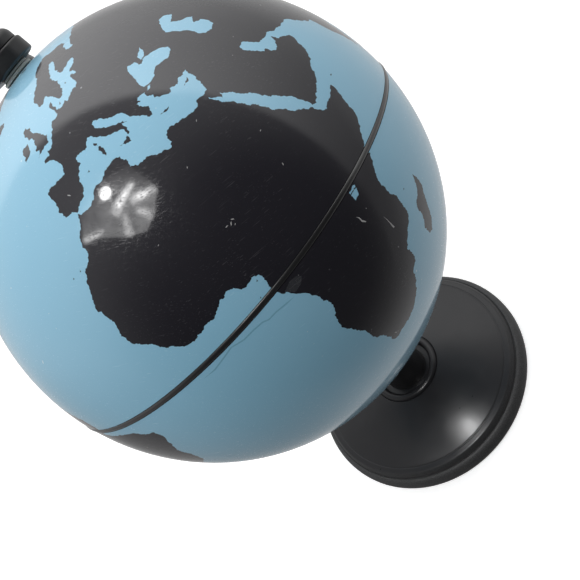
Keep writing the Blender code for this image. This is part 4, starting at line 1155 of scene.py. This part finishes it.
def worn_gloss(name, colour, faded, speck, coat, under):
    """Printed gloss shell: faint mottling, a clear coat, hairline scratches and dust specks."""
    g = Graph(name)
    base = g.mix(g.mottle(9.0, 4.0, 0.6), colour, faded)
    specks = g.mottle(420.0, 1.0, 0.4, 0.78, 0.80)
    patches = g.mottle(16.0, 2.0, 0.5, 0.50, 0.62)
    base = g.mix(g.math("MULTIPLY", specks, patches), base, speck)
    sharp, faint = hairlines(g)
    worn = g.math("MULTIPLY", sharp, g.mottle(22.0, 3.0, 0.6, 0.45, 0.65, 0.04, 0.20))
    waves = g.bump(g.noise(48.0, 1.0), 0.00005)
    dimples = g.bump(g.noise(260.0), 0.000006, 1.0, waves)
    dimples = g.bump(g.noise(1500.0, 1.0), 0.0000012, 1.0, dimples)
    g.feed(
        Base_Color=g.mix(worn, base, speck),
        Roughness=g.mottle(26.0, 5.0, 0.65, 0.35, 0.75, under, under + 0.12),
        Specular_IOR_Level=0.1,
        Coat_Weight=1.0,
        Coat_Roughness=g.ramp(faint, 0.0, 1.0, coat, coat + HAIRLINE_COAT_ROUGHNESS),
        Coat_Normal=dimples,
        Normal=g.bump(g.math("SUBTRACT", 1.0, sharp), 0.00002, 0.5, dimples),
    )
    return g.material


def chipped_white(name):
    """Bare white shell in the chips."""
    g = Graph(name)
    g.feed(
        Base_Color=g.mix(g.noise(900.0), (0.26, 0.26, 0.27), (0.60, 0.60, 0.60)),
        Roughness=0.6,
        Normal=g.bump(g.noise(1500.0), 0.00005),
    )
    return g.material


def moulded_plastic(name, colour, rough_low, rough_high, grain_depth, specular):
    """Moulded plastic: fine grain, soft roughness patches and a few paler rub marks."""
    g = Graph(name)
    rubs = g.mottle(34.0, 6.0, 0.7, 0.58, 0.80)
    paler = tuple(0.035 + 1.2 * c for c in colour)
    grain = g.bump(g.noise(2600.0, 2.0, 0.6), grain_depth)
    g.feed(
        Base_Color=g.mix(g.math("MULTIPLY", rubs, 0.35), colour, paler),
        Roughness=g.mottle(55.0, 4.0, 0.6, 0.3, 0.7, rough_low, rough_high),
        Specular_IOR_Level=specular,
        Normal=g.bump(g.noise(70.0), 0.00003, 0.5, grain),
    )
    return g.material


def foot_plastic(name):
    """Foot: a smoother moulded dome inside, and a grainy matt wall outside the valley, painted paler partly
    for its grain and partly for the floor's bounce light.
    """
    g = Graph(name)
    separate = g.add("ShaderNodeSeparateXYZ", {"Vector": g.place()})
    squares = [g.math("MULTIPLY", separate.outputs[axis], separate.outputs[axis]) for axis in ("X", "Y")]
    radius = g.math("SQRT", g.math("ADD", *squares))
    wall = g.ramp(radius, VALLEY_RADIUS - 0.0030, VALLEY_RADIUS + 0.0006)
    grain = g.noise(1500.0, 3.0, 0.7)
    rubs = g.mottle(30.0, 6.0, 0.7, 0.55, 0.85)
    dome_colour = g.mix(g.math("MULTIPLY", rubs, 0.4), (0.018, 0.018, 0.020), (0.033, 0.033, 0.036))
    # The wall's paler colour is partly its matt grain and partly painted light: bounce from the pale floor,
    # which lights nothing, painted in as colour.
    wall_grain_and_painted_bounce = g.mix(g.ramp(grain, 0.4, 0.7), (0.036, 0.036, 0.037), (0.095, 0.095, 0.097))
    dome = g.math("SUBTRACT", 1.0, wall)
    dome_rough = g.math("MULTIPLY", g.mottle(60.0, 4.0, 0.6, 0.3, 0.7, 0.27, 0.36), dome)
    wall_rough = g.math("MULTIPLY", g.ramp(grain, 0.3, 0.7, 0.50, 0.66), wall)
    fine = g.bump(g.noise(2400.0), 0.000012)
    g.feed(
        Base_Color=g.mix(wall, dome_colour, wall_grain_and_painted_bounce),
        Roughness=g.math("ADD", dome_rough, wall_rough),
        Specular_IOR_Level=0.28,
        Normal=g.bump(g.math("MULTIPLY", g.math("SUBTRACT", grain, 0.5), wall), 0.00007, 0.8, fine),
    )
    return g.material


def nylon(name):
    g = Graph(name)
    g.feed(
        Base_Color=g.mix(g.noise(120.0, 3.0), (0.60, 0.58, 0.52), (0.76, 0.74, 0.68)),
        Roughness=g.mottle(240.0, 3.0, 0.5, 0.3, 0.7, 0.35, 0.5),
        Subsurface_Weight=0.15,
        Normal=g.bump(g.noise(1800.0), 0.00002),
    )
    return g.material


def turned_steel(name):
    """Bright steel with fine machining rings and a little tarnish."""
    g = Graph(name)
    rings = g.noise(1.0, 2.0, 0.5, g.stretched((400.0, 400.0, 9000.0)))
    g.feed(
        Base_Color=g.mix(g.mottle(220.0, 4.0, 0.5, 0.45, 0.75), (0.60, 0.60, 0.61), (0.40, 0.38, 0.36)),
        Metallic=1.0,
        Roughness=g.ramp(rings, 0.3, 0.7, 0.22, 0.42),
        Normal=g.bump(rings, 0.00001),
    )
    return g.material


def cast_iron(name):
    g = Graph(name)
    pits = g.noise(900.0, 4.0, 0.65)
    g.feed(
        Base_Color=g.mix(g.noise(45.0, 4.0), (0.055, 0.055, 0.058), (0.12, 0.115, 0.11)),
        Metallic=0.6,
        Roughness=g.ramp(pits, 0.3, 0.7, 0.5, 0.75),
        Normal=g.bump(pits, 0.00015),
    )
    return g.material


def felt(name):
    """Dark pressed felt: matted fibres and a soft sheen."""
    g = Graph(name)
    fibres = g.noise(1.0, 4.0, 0.7, g.stretched((2200.0, 500.0, 900.0), (0.0, 0.0, 0.6)))
    crossed = g.noise(1.0, 4.0, 0.7, g.stretched((500.0, 2400.0, 900.0), (0.0, 0.0, -0.3)))
    mat = g.math("MULTIPLY", fibres, crossed)
    g.feed(
        Base_Color=g.mix(g.ramp(mat, 0.15, 0.40), (0.012, 0.013, 0.014), (0.045, 0.046, 0.050)),
        Roughness=0.95,
        Sheen_Weight=0.4,
        Sheen_Roughness=0.5,
        Normal=g.bump(mat, 0.0003),
    )
    return g.material


# ---------------- studio
def hide_from(item, camera=False, diffuse=True, glossy=True, shadow=True):
    """Hide an item from these kinds of ray."""
    item.visible_camera = not camera
    item.visible_diffuse = not diffuse
    item.visible_glossy = not glossy
    item.visible_shadow = not shadow


def backdrop():
    """Pale floor that curves up into a far round wall; it lights nothing, so the gloss stays calm."""
    outline = [(0.0, 0.0)]
    for share in shares(16):
        down, out = around(ROOM_BEND, math.pi / 2 * share)
        outline.append((ROOM_RADIUS - ROOM_BEND + out, ROOM_BEND - down))
    back = ROOM_RADIUS + ROOM_WALL
    outline += [(ROOM_RADIUS, ROOM_HEIGHT), (back, ROOM_HEIGHT), (back, -ROOM_WALL), (0.0, -ROOM_WALL)]
    floor = turned("studio_floor", outline, POLAR_SIDES)
    floor.data.shade_smooth()
    floor.data.set_sharp_from_angle(angle=BACKDROP_SHARP_ABOVE)
    g = Graph("studio_paper")
    g.feed(
        Base_Color=(0.82, 0.82, 0.82), Roughness=0.9,
        Emission_Color=(1.0, 1.0, 1.0), Emission_Strength=0.55,
    )
    dress(floor, g.material)
    hide_from(floor)
    floor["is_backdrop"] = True


def area_light(name, place, aim, size, power):
    """Round area light at a place, turned to an aim."""
    light = bpy.data.lights.new(name, "AREA")
    light.shape = "DISK"
    light.size = size
    light.energy = power
    item = linked(name, light)
    item.location = place
    item.rotation_euler = (Vector(aim) - Vector(place)).to_track_quat("-Z", "Y").to_euler()
    return item


def lamp_plane():
    """Place and turn of the ceiling light's plane, which faces the globe from above."""
    direction = LAMP_DIRECTION.normalized()
    across = (Vector((1.0, 0.0, 0.0)) - direction.x * direction).normalized()
    turn = Matrix((across, direction.cross(across), direction)).transposed().to_4x4()
    return Matrix.Translation(GLOBE_CENTRE + direction * LAMP_DISTANCE) @ turn


def glowing(name, corners, faces, glow, height, matrix):
    """Flat light that adds to what lies behind it, shows only as a reflection, and fades with its glow."""
    item = new_object(name, [(x, y, height) for x, y in corners], faces, matrix)
    attribute = item.data.attributes.new("glow", "FLOAT", "POINT")
    attribute.data.foreach_set("value", glow)
    g = Graph(name)
    level = g.add("ShaderNodeAttribute", attribute_name="glow").outputs["Fac"]
    cloth = g.mottle(9.0, 3.0, 0.5, 0.3, 0.7, 0.55, 1.45)
    emission = g.add("ShaderNodeEmission", {"Strength": g.math("MULTIPLY", level, cloth)})
    clear = g.add("ShaderNodeBsdfTransparent")
    both = g.add("ShaderNodeAddShader", {0: emission.outputs["Emission"], 1: clear.outputs["BSDF"]})
    put(g.tree, g.tree.nodes["Material Output"].inputs["Surface"], both.outputs["Shader"])
    g.tree.nodes.remove(g.shader)
    dress(item, g.material)
    hide_from(item, camera=True, diffuse=True, glossy=False)
    item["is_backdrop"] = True


def fold(start, end, start_width, end_width, bright):
    """Bright crease from start to end that fades to its sides and its ends."""
    side = (end - start).orthogonal().normalized()
    corners, glow, faces = [], [], []
    for share in shares(6):
        width = start_width + (end_width - start_width) * share
        point = start.lerp(end, share)
        for offset, level in ((-1.0, 0.0), (-1 / 3, 0.7), (0.0, 1.0), (1 / 3, 0.7), (1.0, 0.0)):
            corners.append(tuple(point + side * width * offset))
            glow.append(bright * level * math.sin(math.pi * (0.08 + 0.84 * share)))
    for step in range(6):
        for k in range(4):
            a = step * 5 + k
            faces.append((a, a + 1, a + 6, a + 5))
    return corners, faces, glow


def diffuser():
    """Creased fabric diffuser beside the lamp: a dim panel, with bright folds from its middle."""
    plane = lamp_plane()
    rim = (
        (0.11, 0.30, 0.9), (-0.08, 0.57, 2.5), (-0.30, 0.38, 3.0), (-0.53, 0.25, 3.5),
        (-0.75, 0.04, 3.5), (-0.70, -0.20, 3.5), (-0.54, -0.46, 3.5), (-0.30, -0.44, 0.9),
        (-0.06, -0.42, 0.4), (0.06, -0.14, 0.5),
    )
    middle = (-0.30, 0.02, 3.0)
    corners = [(x, y) for x, y, _ in (*rim, middle)]
    faces = [(len(rim), (i + 1) % len(rim), i) for i in range(len(rim))]
    glowing("diffuser_panel", corners, faces, [glow for *_, glow in (*rim, middle)], PANEL_HEIGHT, plane)
    for i, (x0, y0, x1, y1, *widths_and_bright) in enumerate((
        (-0.27, 0.11, -0.25, -0.32, 0.09, 0.05, 24.0), (-0.35, -0.13, -0.51, -0.44, 0.07, 0.06, 20.0),
        (-0.46, -0.09, -0.71, -0.17, 0.05, 0.09, 15.0), (-0.06, 0.58, -0.26, 0.31, 0.06, 0.04, 12.0),
        (-0.38, 0.01, -0.59, 0.21, 0.05, 0.09, 8.0),
    )):
        crease = fold(Vector((x0, y0)), Vector((x1, y1)), *widths_and_bright)
        glowing(f"diffuser_fold_{i + 1}", *crease, FOLD_HEIGHT, plane)


def studio_lights():
    """Small lamp overhead with its diffuser, a glint lamp for the foot, and soft light unseen in gloss."""
    area_light("ceiling_lamp", lamp_plane() @ LAMP_OFFSET, GLOBE_CENTRE, LAMP_SIZE, LAMP_POWER)
    diffuser()
    glint = area_light("foot_glint", GLINT_PLACE, GLINT_AIM, GLINT_SIZE, GLINT_POWER)
    hide_from(glint, camera=True, diffuse=True, glossy=False, shadow=False)
    for name, place, power in (
        ("soft_ceiling", (-0.1, 0.34, 1.8), 2.3), ("soft_overhead", (-0.3, 0.9, 1.5), 6.0),
        ("soft_above_camera", (-0.8, 0.0, 1.6), 2.9), ("soft_beside_camera", (-1.5, -0.2, 0.8), 1.2),
    ):
        soft = area_light(name, place, GLOBE_CENTRE, SOFT_LIGHT_SIZE, power)
        hide_from(soft, camera=True, diffuse=False, shadow=False)


def surroundings():
    """Pale sweep beyond a straight edge, and a dim room on the camera's side, darker low on the +Y side."""
    world = bpy.data.worlds.new("studio_world")
    world.use_nodes = True
    tree = world.node_tree
    direction = add_node(tree, "ShaderNodeTexCoord").outputs["Generated"]
    up = add_node(tree, "ShaderNodeSeparateXYZ", {"Vector": direction}).outputs["Z"]

    def result(operation, first, second):
        return add_node(tree, "ShaderNodeMath", {0: first, 1: second}, operation=operation).outputs["Value"]

    def side_of(facing, start, end):
        """0 to 1 as the direction passes from the near to the far side of a plane."""
        inputs = {0: direction, 1: Vector(facing).normalized()}
        dot = add_node(tree, "ShaderNodeVectorMath", inputs, operation="DOT_PRODUCT").outputs["Value"]
        inputs = {"Value": dot, "From Min": start, "From Max": end}
        edge = add_node(tree, "ShaderNodeMapRange", inputs, interpolation_type="SMOOTHSTEP")
        return edge.outputs["Result"]

    glow = result("MULTIPLY", result("MAXIMUM", up, 0.0), 1.9)
    glow = result("ADD", result("MULTIPLY", result("ADD", glow, 0.9), up), 0.5)
    sweep = result("MULTIPLY", result("MAXIMUM", glow, 0.25), side_of((0.797, -0.485, -0.360), 0.06, 0.17))
    room = result("MULTIPLY", side_of((0.990, 0.082, -0.118), -0.72, 0.07), 0.55)
    low_side = result("SUBTRACT", 1.0, result("MULTIPLY", side_of((0.0, 0.8, -0.6), 0.65, 0.95), 0.6))
    room = result("MULTIPLY", room, low_side)
    background = tree.nodes["Background"]
    put(tree, background.inputs["Strength"], result("ADD", result("MAXIMUM", sweep, room), 0.07))
    put(tree, background.inputs["Color"], (1.0, 1.0, 1.0))
    bpy.context.scene.world = world


def camera():
    data = bpy.data.cameras.new("camera")
    data.lens = LENS_MM
    data.sensor_width = SENSOR_MM
    data.shift_x, data.shift_y = LENS_SHIFT
    data.clip_start = CLIP_START
    item = linked("camera", data)
    forward = CAMERA_FORWARD.normalized()
    right = CAMERA_DOWN.cross(forward).normalized()
    up = right.cross(forward)
    turn = Matrix((right, up, -forward)).transposed().to_4x4()
    item.matrix_world = Matrix.Translation(CAMERA_PLACE) @ turn
    bpy.context.scene.camera = item


# ---------------- assembly
def build():
    ocean = worn_gloss("ocean_print", (0.280, 0.562, 0.745), (0.305, 0.587, 0.770), WHITE_SPECK, 0.07, 0.45)
    land = worn_gloss(
        "land_print", (0.0100, 0.0095, 0.0145), (0.0130, 0.0122, 0.0178), (0.24, 0.24, 0.26), 0.06, 0.42,
    )
    chip = chipped_white("bare_shell")
    smudge = worn_gloss("smudged_land", (0.030, 0.032, 0.038), (0.040, 0.041, 0.047), GREY_SPECK, 0.2, 0.5)
    film = worn_gloss("film_edge", (0.175, 0.400, 0.550), (0.210, 0.450, 0.610), WHITE_SPECK, 0.15, 0.45)
    band = moulded_plastic("band_plastic", (0.008, 0.008, 0.009), 0.16, 0.26, 0.000003, 1.0)
    satin = moulded_plastic("satin_plastic", (0.015, 0.015, 0.016), 0.28, 0.40, 0.000015, 0.5)
    foot = foot_plastic("foot_plastic")
    white = nylon("bearing_nylon")
    steel = turned_steel("fastener_steel")
    iron = cast_iron("weight_iron")
    pressed = felt("pressed_felt")

    outlines = map_outlines()
    washer = bored(PIVOT_RADIUS + GAP, WASHER_RADIUS, WASHER_START, WASHER_END)
    for pole, side, cap in (("north", 1, NORTH_CAP), ("south", -1, SOUTH_CAP)):
        shell = half_shell(f"{pole}_shell", side, outlines, (ocean, land, chip, smudge, film))
        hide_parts(f"{pole}_hemisphere")
        polar_piece(
            f"{pole}_bush", bush_outline(), side, white, "bearing_nylon", "globe", f"{pole}_pole_bush",
        )
        polar_piece(
            f"{pole}_washer", washer, side, white, "bearing_nylon", "stand", f"{pole}_thrust_washer",
            WASHER_ROUNDING,
        )
        polar_piece(
            f"{pole}_cap", cap_outline(*cap), side, satin, "arm_plastic", "stand", f"{pole}_pole_cap",
        )
    equator_band(band)
    globe_arm(satin)
    pedestal_stem(satin)
    collar_ring(foot)
    foot_shell(foot)
    cover_disc(foot)
    felt_pad(pressed)
    for material, nodes in (
        (white, ("equator_joining_ring", "north_lock_ring", "south_lock_ring")),
        (steel, ("north_pivot_screw", "south_pivot_screw", "tie_bolt", "tie_washer", "tie_nut")),
        (steel, [f"cover_screw_{i + 1}" for i in range(SCREW_COUNT)]),
        (iron, ("base_weight",)),
    ):
        for node in nodes:
            dress(frame["nodes"][node], material)

    backdrop()
    studio_lights()
    surroundings()
    camera()
    bpy.context.scene.view_settings.view_transform = "Standard"


build()
boxes = {"cad": CAD_BOX, "visual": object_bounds()}
{name: [[float(c) for c in corner] for corner in box] for name, box in boxes.items()}
